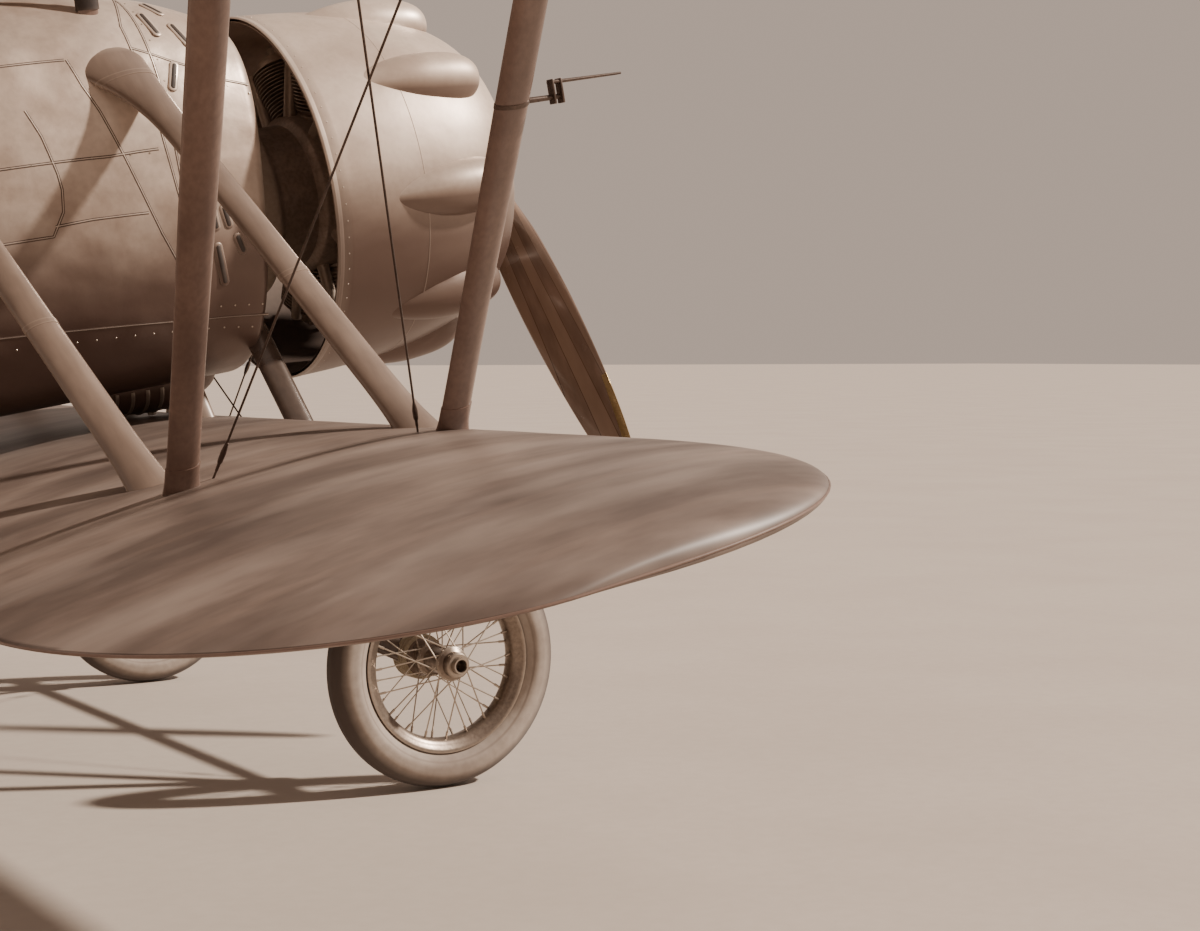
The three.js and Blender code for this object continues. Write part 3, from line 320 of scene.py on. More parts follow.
floor.data.materials.append(makeFinish("floor_plaster", {"pale": (0.52, 0.45, 0.39), "dark": (0.48, 0.41, 0.355), "deep": (0.41, 0.34, 0.29),
    "patches": 1.2, "grain": 24, "grainShare": 0.25, "rough": (0.7, 0.85), "bump": 0.05}))
print("finishes are made")


# Shape helpers

# A grid wrapped into a closed skin: placeAt gives a point for a share of the way round and a row.
def makeSkin(bm, around, rows, placeAt, capped=True):
    grid = bmesh.ops.create_grid(bm, x_segments=around, y_segments=rows - 1, size=1)["verts"]
    for vert in grid:
        vert.co = placeAt((vert.co.x + 1) / 2, round((vert.co.y + 1) / 2 * (rows - 1)))
    bmesh.ops.remove_doubles(bm, verts=grid, dist=1e-6)
    if capped:
        bmesh.ops.holes_fill(bm, edges=[edge for edge in bm.edges if edge.is_boundary], sides=0)


def copyInto(bm, part, places):
    shape = bpy.data.meshes.new("shape")
    for place in places:
        copied = part.copy()
        copied.transform(place)
        copied.to_mesh(shape)
        copied.free()
        bm.from_mesh(shape)
    part.free()
    bpy.data.meshes.remove(shape)


# A turned shape: profile rows are (radius, height) along the local z axis.
def turnProfile(bm, profile, steps, places):
    part = bmesh.new()
    verts = [part.verts.new((radius, 0, height)) for radius, height in profile]
    edges = [part.edges.new(pair) for pair in zip(verts, verts[1:])]
    bmesh.ops.spin(part, geom=verts + edges, axis=(0, 0, 1), cent=(0, 0, 0), steps=steps, angle=tau, use_merge=True)
    bmesh.ops.remove_doubles(part, verts=part.verts, dist=1e-6)
    bmesh.ops.recalc_face_normals(part, faces=part.faces)
    copyInto(bm, part, places)


def facing(place, way):
    return Matrix.Translation(place) @ Vector(way).to_track_quat("Z", "Y").to_matrix().to_4x4()


def makeBar(bm, start, end, radius, endRadius=None, sides=10):
    start, end = Vector(start), Vector(end)
    bmesh.ops.create_cone(bm, cap_ends=True, segments=sides, radius1=radius, radius2=radius if endRadius is None else endRadius,
                          depth=(end - start).length, matrix=facing((start + end) / 2, end - start))


def makeBlock(bm, centre, size, bevel=0.0, turn=Matrix.Identity(4)):
    made = bmesh.ops.create_cube(bm, size=1, matrix=Matrix.Translation(centre) @ turn @ Matrix.Diagonal((*size, 1)))["verts"]
    if bevel:
        edges = list({edge for vert in made for edge in vert.link_edges})
        bmesh.ops.bevel(bm, geom=edges, offset=bevel, segments=2, profile=0.5, affect="EDGES", material=-1)


# A flattened round strip that follows points, with its own width and height
def makeStrip(bm, points, ups, width, height, around=8, closed=False):
    count = len(points)
    rows = count + 1 if closed else count

    def placeAt(turn, row):
        here, up = points[row % count], ups[row % count]
        ahead = points[(row + 1) % count] - here if closed or row < count - 1 else here - points[row - 1]
        behind = here - points[(row - 1) % count] if closed or row > 0 else ahead
        side = (ahead.normalized() + behind.normalized()).cross(up).normalized()
        angle = tau * turn
        return here + side * (width / 2 * math.cos(angle)) + up * (height * math.sin(angle))

    makeSkin(bm, around, rows, placeAt, capped=not closed)


def asPiece(name, bm, body, finish, replaces=(), sharp=40, place=craft):
    bm.transform(place)
    bmesh.ops.recalc_face_normals(bm, faces=bm.faces)
    mesh = bpy.data.meshes.new(name)
    bm.to_mesh(mesh)
    bm.free()
    mesh.shade_smooth()
    mesh.set_sharp_from_angle(angle=math.radians(sharp))
    piece = bpy.data.objects.new(name, mesh)
    bpy.context.collection.objects.link(piece)
    mesh.materials.append(finishes[finish])
    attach(piece, body)
    if replaces:
        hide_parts(*replaces)
    return piece


def lerp(first, second, share):
    return first + (second - first) * share


# Reads a table at a place between its rows, with smooth curves through them.
def readTable(rows, place):
    last = len(rows) - 1
    i = max(0, min(last - 1, sum(1 for row in rows if (row[0] - place) * (rows[0][0] - rows[-1][0]) > 0) - 1))
    step = rows[i + 1][0] - rows[i][0]
    share = (place - rows[i][0]) / step
    values = []
    for column in range(1, len(rows[0])):
        def slopeAt(k):
            low, high = max(0, k - 1), min(last, k + 1)
            return (rows[high][column] - rows[low][column]) / (rows[high][0] - rows[low][0])
        first, second = rows[i][column], rows[i + 1][column]
        values.append((2 * share ** 3 - 3 * share ** 2 + 1) * first + (share ** 3 - 2 * share ** 2 + share) * step * slopeAt(i)
                      + (3 * share ** 2 - 2 * share ** 3) * second + (share ** 3 - share ** 2) * step * slopeAt(i + 1))
    return values


# Wings

lowerWing = {"nose": -0.247, "chord": 1.438, "thick": 0.075, "camber": 0.018, "span": 3.225, "tip": 0.902,
             "base": -0.649, "rise": 0.0032, "incidence": 0.0232}
upperWing = {"nose": -0.4, "chord": 1.43, "thick": 0.08, "camber": 0.022, "span": 4.25, "tip": 0.902,
             "base": 0.89, "rise": math.tan(math.radians(2)), "incidence": 0}
wingTip = {"widest": 0.54, "fullFront": 3.2, "fullRear": 1.93, "drop": 0.012, "edge": 0.003}
spars = {"front": 0.082, "rear": 0.551}
strutFoot, strutTop, centreHalf = 1.63, 3.005, 0.6
aileron = {"inner": 2.35, "outer": 3.78, "hinge": 0.77, "nose": 0.03, "gap": 0.007, "ribGap": 0.012}
cutOut = {"radius": 0.27, "behind": 0.06}
sides = (("right", 1), ("left", -1))


def wingEnds(wing, y):
    out = max(0, (y - wing["span"] + wing["tip"]) / wing["tip"])
    widest = wing["nose"] - wing["chord"] * wingTip["widest"]
    front = widest + wing["chord"] * wingTip["widest"] * (1 - out ** wingTip["fullFront"]) ** (1 / wingTip["fullFront"])
    rear = widest - wing["chord"] * (1 - wingTip["widest"]) * (1 - out ** wingTip["fullRear"]) ** (1 / wingTip["fullRear"])
    return out, front, rear


# A point of the skin: share of the chord from the nose, and 1 above, -1 below
def wingSurface(wing, y, back, side):
    out, front, rear = wingEnds(wing, y)
    x = lerp(front, rear, back)
    thin = ((front - rear) / wing["chord"]) ** 0.85
    half = 5 * wing["thick"] * (0.2969 * math.sqrt(back) - 0.126 * back - 0.3516 * back ** 2 + 0.2843 * back ** 3
                                - 0.1015 * back ** 4)
    rise = (4 * wing["camber"] * back * (1 - back) + side * half) * wing["chord"] * thin
    sag = wingLook["sag"] * math.sin(math.pi * y / wingLook["ribPitch"]) ** 2 * math.sqrt(4 * back * (1 - back)) * (1 - out)
    z = (wing["base"] + y * wing["rise"] + rise + side * (wingTip["edge"] * back - sag)
         + wing["incidence"] * (x - wing["nose"] + wing["chord"] / 2) - wingTip["drop"] * out ** 1.5)
    return Vector((x, -y, z))


def wingPoint(wing, y, back):
    x = wing["nose"] - back * wing["chord"]
    return Vector((x, -y, wing["base"] + abs(y) * wing["rise"] + 4 * wing["camber"] * back * (1 - back) * wing["chord"]
                   + wing["incidence"] * (0.5 - back) * wing["chord"]))


# A point round one section; where a cut bounds it at the rear, the points behind close its face.
def wingSection(wing, y, turn, cut=None):
    back = (1 + math.cos(tau * turn)) / 2
    side = 0 if turn in (0, 0.5, 1) else (1 if turn < 0.5 else -1)
    _, front, rear = wingEnds(wing, y)
    if cut is None or lerp(front, rear, back) >= cut:
        return wingSurface(wing, y, back, side)
    limit = (front - cut) / (front - rear)
    above, normalUpForShade = wingSurface(wing, y, limit, 1), wingSurface(wing, y, limit, -1)
    share = max(0, (back - limit) / (1 - limit) - 0.12) / 0.88
    return lerp(above if turn < 0.5 else normalUpForShade, (above + normalUpForShade) / 2, share)


def stepsBetween(low, high, size):
    count = max(1, round(abs(high - low) / size))
    return [lerp(low, high, i / count) for i in range(count + 1)]


def tipRows(wing, count=30):
    start = wing["span"] - wing["tip"]
    return [start + wing["tip"] * math.sin(math.radians(89 * i / count)) for i in range(1, count + 1)]


hingeX = upperWing["nose"] - aileron["hinge"] * upperWing["chord"]
notchX = hingeX + aileron["nose"] + aileron["gap"]
ribStep = wingLook["ribPitch"] / 6


def hingeAt(y):
    inner, outer = (wingPoint(upperWing, aileron[end], aileron["hinge"]) for end in ("inner", "outer"))
    return inner.z + (outer.z - inner.z) * (y - aileron["inner"]) / (aileron["outer"] - aileron["inner"])


def makeWing(name, wing, spread, side):
    bm = bmesh.new()
    makeSkin(bm, 72, len(spread), lambda turn, row: wingSection(wing, spread[row][0], turn, spread[row][1]))
    bmesh.ops.scale(bm, vec=(1, side, 1), verts=bm.verts)
    return asPiece(name, bm, "airframe", "wingSkin", (name,), sharp=50)


# A thin bow along the edge of a rounded tip, in dark wood that also stands for painted shade along the edge
def makeEdgeBow(name, wing, side):
    bm = bmesh.new()
    start = wing["span"] - wing["tip"]
    front = [wingSurface(wing, start + wing["tip"] * math.sin(math.radians(a)), 0, 0) for a in range(30, 89, 3)]
    rear = [wingSurface(wing, start + wing["tip"] * math.sin(math.radians(a)), 1, 0) for a in range(88, 2, -3)]
    points = front + rear
    makeStrip(bm, points, [Vector((0, 0, 1))] * len(points), 0.005, 0.0028)
    bmesh.ops.scale(bm, vec=(1, side, 1), verts=bm.verts)
    asPiece(name, bm, "airframe", "darkWood")


for label, side in sides:
    spread = [(y, None) for y in stepsBetween(0.00015, lowerWing["span"] - lowerWing["tip"], ribStep) + tipRows(lowerWing)]
    makeWing(f"lower_wing_{label}", lowerWing, spread, side)
    places = (stepsBetween(centreHalf + 0.0003, upperWing["span"] - upperWing["tip"], ribStep) + tipRows(upperWing)
              + [aileron[end] + shift for end in ("inner", "outer") for shift in (-0.0002, 0.0002)])
    spread = [(y, notchX if aileron["inner"] < y < aileron["outer"] else None) for y in sorted(places)]
    makeWing(f"upper_wing_{label}", upperWing, spread, side)
    makeEdgeBow(f"lower_edge_bow_{label}", lowerWing, side)
    makeEdgeBow(f"upper_edge_bow_{label}", upperWing, side)


def makeAileron(label, side):
    bm = bmesh.new()
    spread = stepsBetween(aileron["inner"] + aileron["ribGap"], aileron["outer"] - aileron["ribGap"], ribStep / 1.4)

    def placeAt(turn, row):
        y = spread[row]
        _, front, rear = wingEnds(upperWing, y)
        limit = (front - hingeX) / (front - rear)
        level = 0 if turn in (0, 1) else (1 if turn < 0.5 else -1)
        if abs(turn - 0.5) <= 0.17:
            above, normalUpForShade = wingSurface(upperWing, y, limit, 1), wingSurface(upperWing, y, limit, -1)
            angle = math.pi / 2 - math.pi * (turn - 0.33) / 0.34
            depth = (above.z - normalUpForShade.z) / 2
            return Vector((hingeX + aileron["nose"] * math.cos(angle), -y, (above.z + normalUpForShade.z) / 2 + depth * math.sin(angle)))
        share = min(turn, 1 - turn) / 0.33
        return wingSurface(upperWing, y, lerp(1, limit, share), level)

    makeSkin(bm, 60, len(spread), placeAt)
    for y in (2.9, 3.2):
        for level in (1, -1):
            foot = wingSurface(upperWing, y, aileron["hinge"] + 0.03, level)
            makeBlock(bm, foot + Vector((-0.03, 0, level * 0.002)), (0.1, 0.03, 0.006), 0.002)
    horn = wingSurface(upperWing, 2.9, aileron["hinge"] + 0.02, -1)
    makeBar(bm, horn, horn + Vector((0.015, 0, -0.11)), 0.011, 0.006, 12)
    bmesh.ops.scale(bm, vec=(1, side, 1), verts=bm.verts)
    asPiece(f"aileron_{label}", bm, f"aileron_{label}", "wingSkin", (f"aileron_{label}",), sharp=50)
    pins = bmesh.new()
    for y in (aileron["inner"] + 0.006, aileron["outer"] - 0.006):
        makeBar(pins, (hingeX, -y - 0.0055, hingeAt(y)), (hingeX, -y + 0.0055, hingeAt(y)), 0.009, sides=16)
    bmesh.ops.scale(pins, vec=(1, side, 1), verts=pins.verts)
    asPiece(f"aileron_pins_{label}", pins, f"aileron_{label}", "steel")


for label, side in sides:
    makeAileron(label, side)


def centreCut(y):
    centre = upperWing["nose"] - upperWing["chord"] - cutOut["behind"]
    return centre + math.sqrt(cutOut["radius"] ** 2 - y * y) if abs(y) < cutOut["radius"] else None


bm = bmesh.new()
cutEnd = math.degrees(math.acos(cutOut["behind"] / cutOut["radius"]))
spread = (stepsBetween(-centreHalf, -0.3, 0.05) + [cutOut["radius"] * math.sin(math.radians(a)) for a in stepsBetween(-cutEnd, cutEnd, 3)]
          + stepsBetween(0.3, centreHalf, 0.05))


def centreAt(turn, row):
    point = wingSection(upperWing, abs(spread[row]), turn, centreCut(spread[row]))
    return Vector((point.x, -spread[row], point.z))


makeSkin(bm, 72, len(spread), centreAt)
asPiece("upper_wing_centre", bm, "airframe", "wingSkin", ("upper_wing_centre",), sharp=50)
print("wings are made")


# Fuselage: x, half-width, top, bottom and how square the oval is
fuselageRows = [(-0.14, 0.42, 0.535, -0.49, 2.8), (-0.35, 0.446, 0.628, -0.49, 2.7), (-0.62, 0.46, 0.662, -0.488, 2.6),
                (-1, 0.458, 0.666, -0.486, 2.5), (-1.5, 0.446, 0.652, -0.48, 2.5), (-2.05, 0.42, 0.61, -0.458, 2.4),
                (-2.6, 0.376, 0.552, -0.422, 2.3), (-3.3, 0.274, 0.42, -0.354, 2.15), (-3.96, 0.168, 0.262, -0.29, 2),
                (-4.4, 0.092, 0.232, -0.242, 2), (-4.69, 0.026, 0.214, -0.205, 2)]
bays = {"front": -0.14, "roll": 0.035, "noseRear": -1.0, "cockpitRear": -2.6, "stern": -4.69}
noseLean = {"most": 0.11, "from": -0.35, "over": 0.21}
cockpit = {"x": -2.17, "length": 0.64, "width": 0.52, "wall": 0.014}


# A point of the fuselage skin: turn 0.25 is the top and 0.5 the starboard side.
def fuselageAt(x, turn, proud=0.0):
    half, top, bottom, square = readTable(fuselageRows, x)
    across, up = math.cos(tau * turn), math.sin(tau * turn)
    reach = (abs(across) ** square + abs(up) ** square) ** (-1 / square)
    height = (top + bottom) / 2 + ((top - bottom) / 2 + proud) * up * reach
    lean = noseLean["most"] * max(0, min(1, (x - noseLean["from"]) / noseLean["over"]))
    return Vector((x + lean * height, (half + proud) * across * reach, height))


def skinNormal(x, turn):
    along = fuselageAt(x - 0.006, turn) - fuselageAt(x + 0.006, turn)
    normal = along.cross(fuselageAt(x, turn + 0.003) - fuselageAt(x, turn - 0.003)).normalized()
    return normal if normal.dot(fuselageAt(x, turn) - Vector((x, 0, 0.05))) > 0 else -normal


def deckAt(x, y):
    half, top, bottom, square = readTable(fuselageRows, x)
    return (top + bottom) / 2 + (top - bottom) / 2 * (1 - min(1, abs(y / half)) ** square) ** (1 / square)


# A strip on the skin through corners given as x and degrees round the section
def skinStrip(bm, corners, width, height):
    path = []
    for (x, degrees), (nextX, nextDegrees) in zip(corners, corners[1:]):
        length = max(abs(nextX - x), abs(nextDegrees - degrees) * 0.009)
        count = max(1, round(length / 0.02))
        path += [(lerp(x, nextX, i / count), lerp(degrees, nextDegrees, i / count) / 360) for i in range(count)]
    path.append((corners[-1][0], corners[-1][1] / 360))
    makeStrip(bm, [fuselageAt(*spot) for spot in path], [skinNormal(*spot) for spot in path], width, height)


# A long dome with round ends, on the skin between two spots
def skinDome(bm, first, last, width, height, longer=0.0):
    spots = [(x, degrees / 360) for x, degrees in (first, last)]
    start, end = (fuselageAt(*spot) for spot in spots)
    middle = ((spots[0][0] + spots[1][0]) / 2, (spots[0][1] + spots[1][1]) / 2)
    up, run = skinNormal(*middle), end - start
    side = run.cross(up).normalized()
    ahead, reach = run.normalized(), max(0.0, run.length / 2 + longer - width / 2)
    basis = Matrix((ahead * width / 2, side * width / 2, side.cross(ahead) * height)).transposed()
    made = bmesh.ops.create_uvsphere(bm, u_segments=20, v_segments=10, radius=1, matrix=Matrix.Rotation(math.pi / 2, 4, "Y"))["verts"]
    for vert in made:
        stretch = math.copysign(reach, vert.co.x) if abs(vert.co.x) > 1e-4 else 0
        vert.co = fuselageAt(*middle) + basis @ vert.co + ahead * stretch


def skinRow(bm, corners, spacing, radius, height):
    for (x, degrees), (nextX, nextDegrees) in zip(corners, corners[1:]):
        length = math.hypot(nextX - x, (nextDegrees - degrees) * 0.0087)
        count = max(1, round(length / spacing))
        for i in range(count):
            spot = (lerp(x, nextX, i / count), lerp(degrees, nextDegrees, i / count) / 360)
            bmesh.ops.create_cone(bm, cap_ends=True, segments=8, radius1=radius, radius2=radius * 0.6, depth=height * 2,
                                  matrix=facing(fuselageAt(*spot), skinNormal(*spot)))


def mirroredCorners(corners):
    return [(x, 180 - degrees) for x, degrees in corners]


# One closed bay; its front edge may be rolled inwards.
def makeBay(name, front, rear, finish, roll=0.0):
    bm = bmesh.new()
    rows = [(x, 0.0) for x in stepsBetween(front - roll, rear, 0.025)]
    if roll:
        arc = [math.radians(a) for a in range(0, 90, 10)]
        rows = [(front - roll * (1 - math.cos(a)), -roll * (1 - math.sin(a))) for a in arc] + rows
    makeSkin(bm, 128, len(rows), lambda turn, row: fuselageAt(rows[row][0], turn, rows[row][1]))
    return asPiece(name, bm, "airframe", finish, (name,), sharp=45)


makeBay("fuselage_nose", bays["front"], bays["noseRear"] + 0.0003, "panelMetal", bays["roll"])
makeBay("fuselage_tail", bays["cockpitRear"] - 0.0003, bays["stern"], "fuselageSkin")

# Seams, slots and louvres of the nose panels, as x and degrees round the section
noseSeams = [
    [(-0.143, 218), (-0.392, 218), (-0.99, 214)],
    [(-0.402, 114.8), (-0.402, 60), (-0.402, -38)],
    [(-0.158, 147.8), (-0.226, 148.3), (-0.339, 145.5), (-0.452, 141.8)],
    [(-0.402, 114.8), (-0.425, 124), (-0.452, 134), (-0.452, 141.8), (-0.43, 170), (-0.4, 200), (-0.392, 218)],
    [(-0.452, 170), (-0.596, 171), (-0.895, 171), (-0.99, 171)],
    [(-0.645, 144.5), (-0.625, 152), (-0.595, 159), (-0.555, 171), (-0.505, 187), (-0.485, 193), (-0.455, 200), (-0.4, 214)],
    [(-0.78, 187.5), (-0.675, 187), (-0.515, 187)],
    [(-0.651, 144.5), (-0.827, 144.5), (-0.99, 144.5)],
    [(-0.797, 157), (-0.77, 164), (-0.757, 169.8), (-0.748, 174), (-0.744, 178.2), (-0.752, 184), (-0.79, 190), (-0.99, 190)],
]
noseSlots = [((-0.336, 118.7), (-0.311, 125.7)), ((-0.372, 127.7), (-0.354, 136.8)), ((-0.309, 131.2), (-0.286, 139)),
             ((-0.341, 146), (-0.369, 153.8)), ((-0.329, 184), (-0.321, 192.8)), ((-0.258, 194.2), (-0.238, 199.2)),
             ((-0.326, 197), (-0.311, 208)), ((-0.29, 186), (-0.278, 192)), ((-0.372, 190), (-0.362, 198))]
seams, shades, lips, slotShades, studs = (bmesh.new() for _ in range(5))
for mirrorIt in (False, True):
    for corners in noseSeams:
        line = mirroredCorners(corners) if mirrorIt else corners
        skinStrip(seams, line, 0.0034, 0.0011)
        # A wide dark strip under each seam bead: partly grime in the joint, partly painted shade beside the bead
        skinStrip(shades, line, 0.0085, 0.0005)
    for ends in noseSlots:
        first, last = mirroredCorners(ends) if mirrorIt else ends
        skinDome(lips, first, last, 0.03, 0.0042, 0.006)
        # Dark domes in the slots: painted shade standing for the openings
        skinDome(slotShades, first, last, 0.019, 0.0058, 0.0005)
    for corners in ([(-0.17, 214.5), (-0.38, 214.5)], [(-0.16, 150.5), (-0.33, 148.5)], [(-0.48, 171), (-0.98, 171)],
                    [(-0.385, 60), (-0.385, -34)], [(-0.98, 20), (-0.98, 160)], [(-0.2, 222), (-0.98, 218)]):
        skinRow(studs, mirroredCorners(corners) if mirrorIt else corners, 0.055, 0.0036, 0.0011)
skinStrip(seams, [(bays["noseRear"] + 0.005, degrees) for degrees in range(0, 361, 6)], 0.018, 0.0018)
asPiece("nose_panel_seams", seams, "airframe", "panelMetal")
asPiece("nose_seam_grime_and_shade", shades, "airframe", "grimeAndShade")
asPiece("nose_louvre_lips", lips, "airframe", "panelMetal")
asPiece("nose_louvre_slot_shades", slotShades, "airframe", "darkEnamelAndShade")
asPiece("nose_panel_screws", studs, "airframe", "steel")

# Plate across the front of the nose bay, in the liner finish that is darker towards the bottom: painted shade
bm = bmesh.new()
makeSkin(bm, 96, 3, lambda turn, row: fuselageAt(bays["front"], turn, (-0.036, -0.042, -0.06)[row]) + Vector(((0.0, 0.004, 0.006)[row], 0, 0)))
asPiece("bulkhead_plate", bm, "airframe", "linerMetal")

# Hollow cockpit bay: the skin round the opening is drawn onto its edge, then gets its wall.
bm = bmesh.new()
rows = stepsBetween(bays["noseRear"], bays["cockpitRear"], 0.02)
makeSkin(bm, 128, len(rows), lambda turn, row: fuselageAt(rows[row], turn), capped=False)
holeHalf = (cockpit["length"] / 2, cockpit["width"] / 2)
gone = [face for face in bm.faces if face.calc_center_median().z > 0.2 and math.hypot(
    (face.calc_center_median().x - cockpit["x"]) / holeHalf[0], face.calc_center_median().y / holeHalf[1]) < 1]
bmesh.ops.delete(bm, geom=gone, context="FACES")
for vert in bm.verts:
    if vert.is_boundary and abs(vert.co.x - cockpit["x"]) < 0.42 and vert.co.z > 0.2:
        angle = math.atan2(vert.co.y / holeHalf[1], (vert.co.x - cockpit["x"]) / holeHalf[0])
        x, y = cockpit["x"] + holeHalf[0] * math.cos(angle), holeHalf[1] * math.sin(angle)
        vert.co = (x, y, deckAt(x, y))
shell = asPiece("fuselage_cockpit", bm, "airframe", "fuselageSkin", ("fuselage_cockpit",), sharp=50)
wall = shell.modifiers.new("wall", "SOLIDIFY")
wall.thickness = cockpit["wall"]
wall.offset = -1

bm = bmesh.new()
ring = [(cockpit["x"] + holeHalf[0] * math.cos(tau * i / 72), holeHalf[1] * math.sin(tau * i / 72)) for i in range(72)]
makeStrip(bm, [Vector((x, y, deckAt(x, y) - 0.004)) for x, y in ring],
          [Vector((0, 0, 1)) for _ in ring], 0.046, 0.02, around=16, closed=True)
coaming = asPiece("cockpit_coaming", bm, "airframe", "leather", sharp=60)
bm = bmesh.new()
for i in range(0, 72, 2):
    x, y = (cockpit["x"] + (holeHalf[0] + 0.026) * math.cos(tau * i / 72), (holeHalf[1] + 0.026) * math.sin(tau * i / 72))
    bmesh.ops.create_cone(bm, cap_ends=True, segments=8, radius1=0.005, radius2=0.002, depth=0.005,
                          matrix=Matrix.Translation((x, y, deckAt(x, y))))
asPiece("coaming_nails", bm, "airframe", "brass")

bm = bmesh.new()
for x in (-1.5, -1.82, -2.602, -2.9, -3.3, -3.7, -4.1):
    skinStrip(bm, [(x, degrees) for degrees in range(-180 if x < -2.55 else -236, 181 if x < -2.55 else 57, 8)], 0.022, 0.0013)
for degrees in (20, 55, 125, 160, 200, 235, 305, 340):
    skinStrip(bm, [(-2.604, degrees), (-4.66, degrees)], 0.012, 0.0016)
asPiece("fuselage_bands", bm, "airframe", "fuselageSkin")
print("fuselage is made")


# Cockpit fittings
seat = {"x": -2.3, "z": -0.11, "half": 0.19, "back": 0.42}
bm = bmesh.new()
makeBlock(bm, (seat["x"] + 0.02, 0, seat["z"] + 0.0125), (0.34, 0.38, 0.025), 0.006)
makeBlock(bm, (seat["x"] - 0.1625, 0, seat["z"] + 0.21), (0.025, 0.38, 0.42), 0.011)
for way in (-1, 1):
    makeBlock(bm, (seat["x"] - 0.015, way * 0.18, seat["z"] + 0.065), (0.27, 0.02, 0.13), 0.009)
    makeBar(bm, (seat["x"] - 0.06, way * 0.05, seat["z"]), (seat["x"] - 0.06, way * 0.05, -0.43), 0.014)
    makeBar(bm, (seat["x"] + 0.06, way * 0.05, seat["z"]), (seat["x"] + 0.06, way * 0.05, -0.43), 0.014)
asPiece("seat", bm, "airframe", "panelWood", ("seat",))


# A crowned cushion whose sides pull in between its corners, with sewn channels across it
def makeCushion(name, centre, size, upright, channels):
    bm = bmesh.new()
    bmesh.ops.create_cube(bm, size=2)
    bmesh.ops.subdivide_edges(bm, edges=bm.edges, cuts=23, use_grid_fill=True)
    for vert in bm.verts:
        a, b, c = vert.co
        crown = (1 - abs(a) ** 3.2) * (1 - abs(b) ** 3.2)
        pull = 1 - 0.05 * (1 - max(a * a, b * b) ** 2)
        seam = math.exp(-((abs(math.cos(math.pi * channels * (a + 1) / 2))) / 0.16) ** 2) if abs(a) < 0.98 else 0
        edge = 1 - 0.06 * abs(c) ** 3
        vert.co = (a * edge * (pull if abs(b) < 0.9 else 1), b * edge * (pull if abs(a) < 0.9 else 1),
                   c * (0.42 + 0.58 * crown - (0.17 * seam if c > 0 else 0)))
    turn = Matrix.Rotation(-math.pi / 2, 4, "Y") if upright else Matrix.Identity(4)
    bm.transform(Matrix.Translation(centre) @ turn @ Matrix.Diagonal((size[0] / 2, size[1] / 2, size[2] / 2, 1)))
    piece = asPiece(name, bm, "airframe", "leather", sharp=180)


makeCushion("seat_cushion", (seat["x"] + 0.015, 0, seat["z"] + 0.055), (0.31, 0.335, 0.062), False, 5)
makeCushion("seat_back_pad", (seat["x"] - 0.128, 0, seat["z"] + 0.25), (0.32, 0.34, 0.05), True, 5)
bm = bmesh.new()
for way in (-1, 1):
    lap = [Vector((seat["x"] - 0.1, way * 0.172, seat["z"] + 0.07)), Vector((seat["x"] - 0.04, way * 0.15, seat["z"] + 0.1)),
           Vector((seat["x"] + 0.02, way * 0.09, seat["z"] + 0.098)), Vector((seat["x"] + 0.05, way * 0.02, seat["z"] + 0.094))]
    makeStrip(bm, lap, [Vector((0, 0, 1))] * 4, 0.045, 0.003)
asPiece("lap_belt", bm, "airframe", "webbing")
bm = bmesh.new()
makeBlock(bm, (seat["x"] + 0.052, 0, seat["z"] + 0.099), (0.055, 0.05, 0.008), 0.003)
asPiece("belt_buckle", bm, "airframe", "brass")

dash = {"front": -1.88, "thick": 0.014, "foot": 0.19,
        "dials": [(0, 0.475, 0.05), (-0.13, 0.45, 0.038), (0.13, 0.45, 0.038), (-0.07, 0.345, 0.032), (0.075, 0.345, 0.032),
                  (-0.22, 0.37, 0.027), (0.22, 0.37, 0.027)]}


def dashAt(turn, row):
    point = fuselageAt(dash["front"] - dash["thick"] * row, turn, -0.0145)
    return Vector((point.x, point.y, max(point.z, dash["foot"])))


bm = bmesh.new()
makeSkin(bm, 96, 2, dashAt)
asPiece("instrument_panel", bm, "airframe", "panelWood", ("instrument_panel",))
bezels, faces, marks = bmesh.new(), bmesh.new(), bmesh.new()
for y, z, radius in dash["dials"]:
    place = facing((dash["front"] - dash["thick"], y, z), (-1, 0, 0))
    turnProfile(bezels, [(0, -0.002), (radius, -0.002), (radius, 0.006), (radius * 0.94, 0.011), (radius * 0.85, 0.011),
                         (radius * 0.82, 0.005), (0, 0.005)], 32, [place])
    turnProfile(faces, [(0, 0.0055), (radius * 0.81, 0.0055), (radius * 0.81, 0.0065), (0, 0.0065)], 32, [place])
    for i in range(12):
        spot = place @ Matrix.Rotation(tau * i / 12, 4, "Z") @ Matrix.Translation((0, radius * 0.68, 0.007))
        bmesh.ops.create_cube(marks, size=1, matrix=spot @ Matrix.Diagonal((0.0015, radius * (0.16 if i % 3 == 0 else 0.09), 0.0008, 1)))
    needle = place @ Matrix.Rotation(2.2 + 9 * y, 4, "Z") @ Matrix.Translation((0, radius * 0.25, 0.0076))
    bmesh.ops.create_cone(marks, cap_ends=True, segments=6, radius1=0.0016, radius2=0.0005, depth=radius * 0.7,
                          matrix=needle @ Matrix.Rotation(-math.pi / 2, 4, "X"))
asPiece("dial_bezels", bezels, "airframe", "brass")
asPiece("dial_faces", faces, "airframe", "dialFace")
asPiece("dial_marks", marks, "airframe", "darkEnamelAndShade")

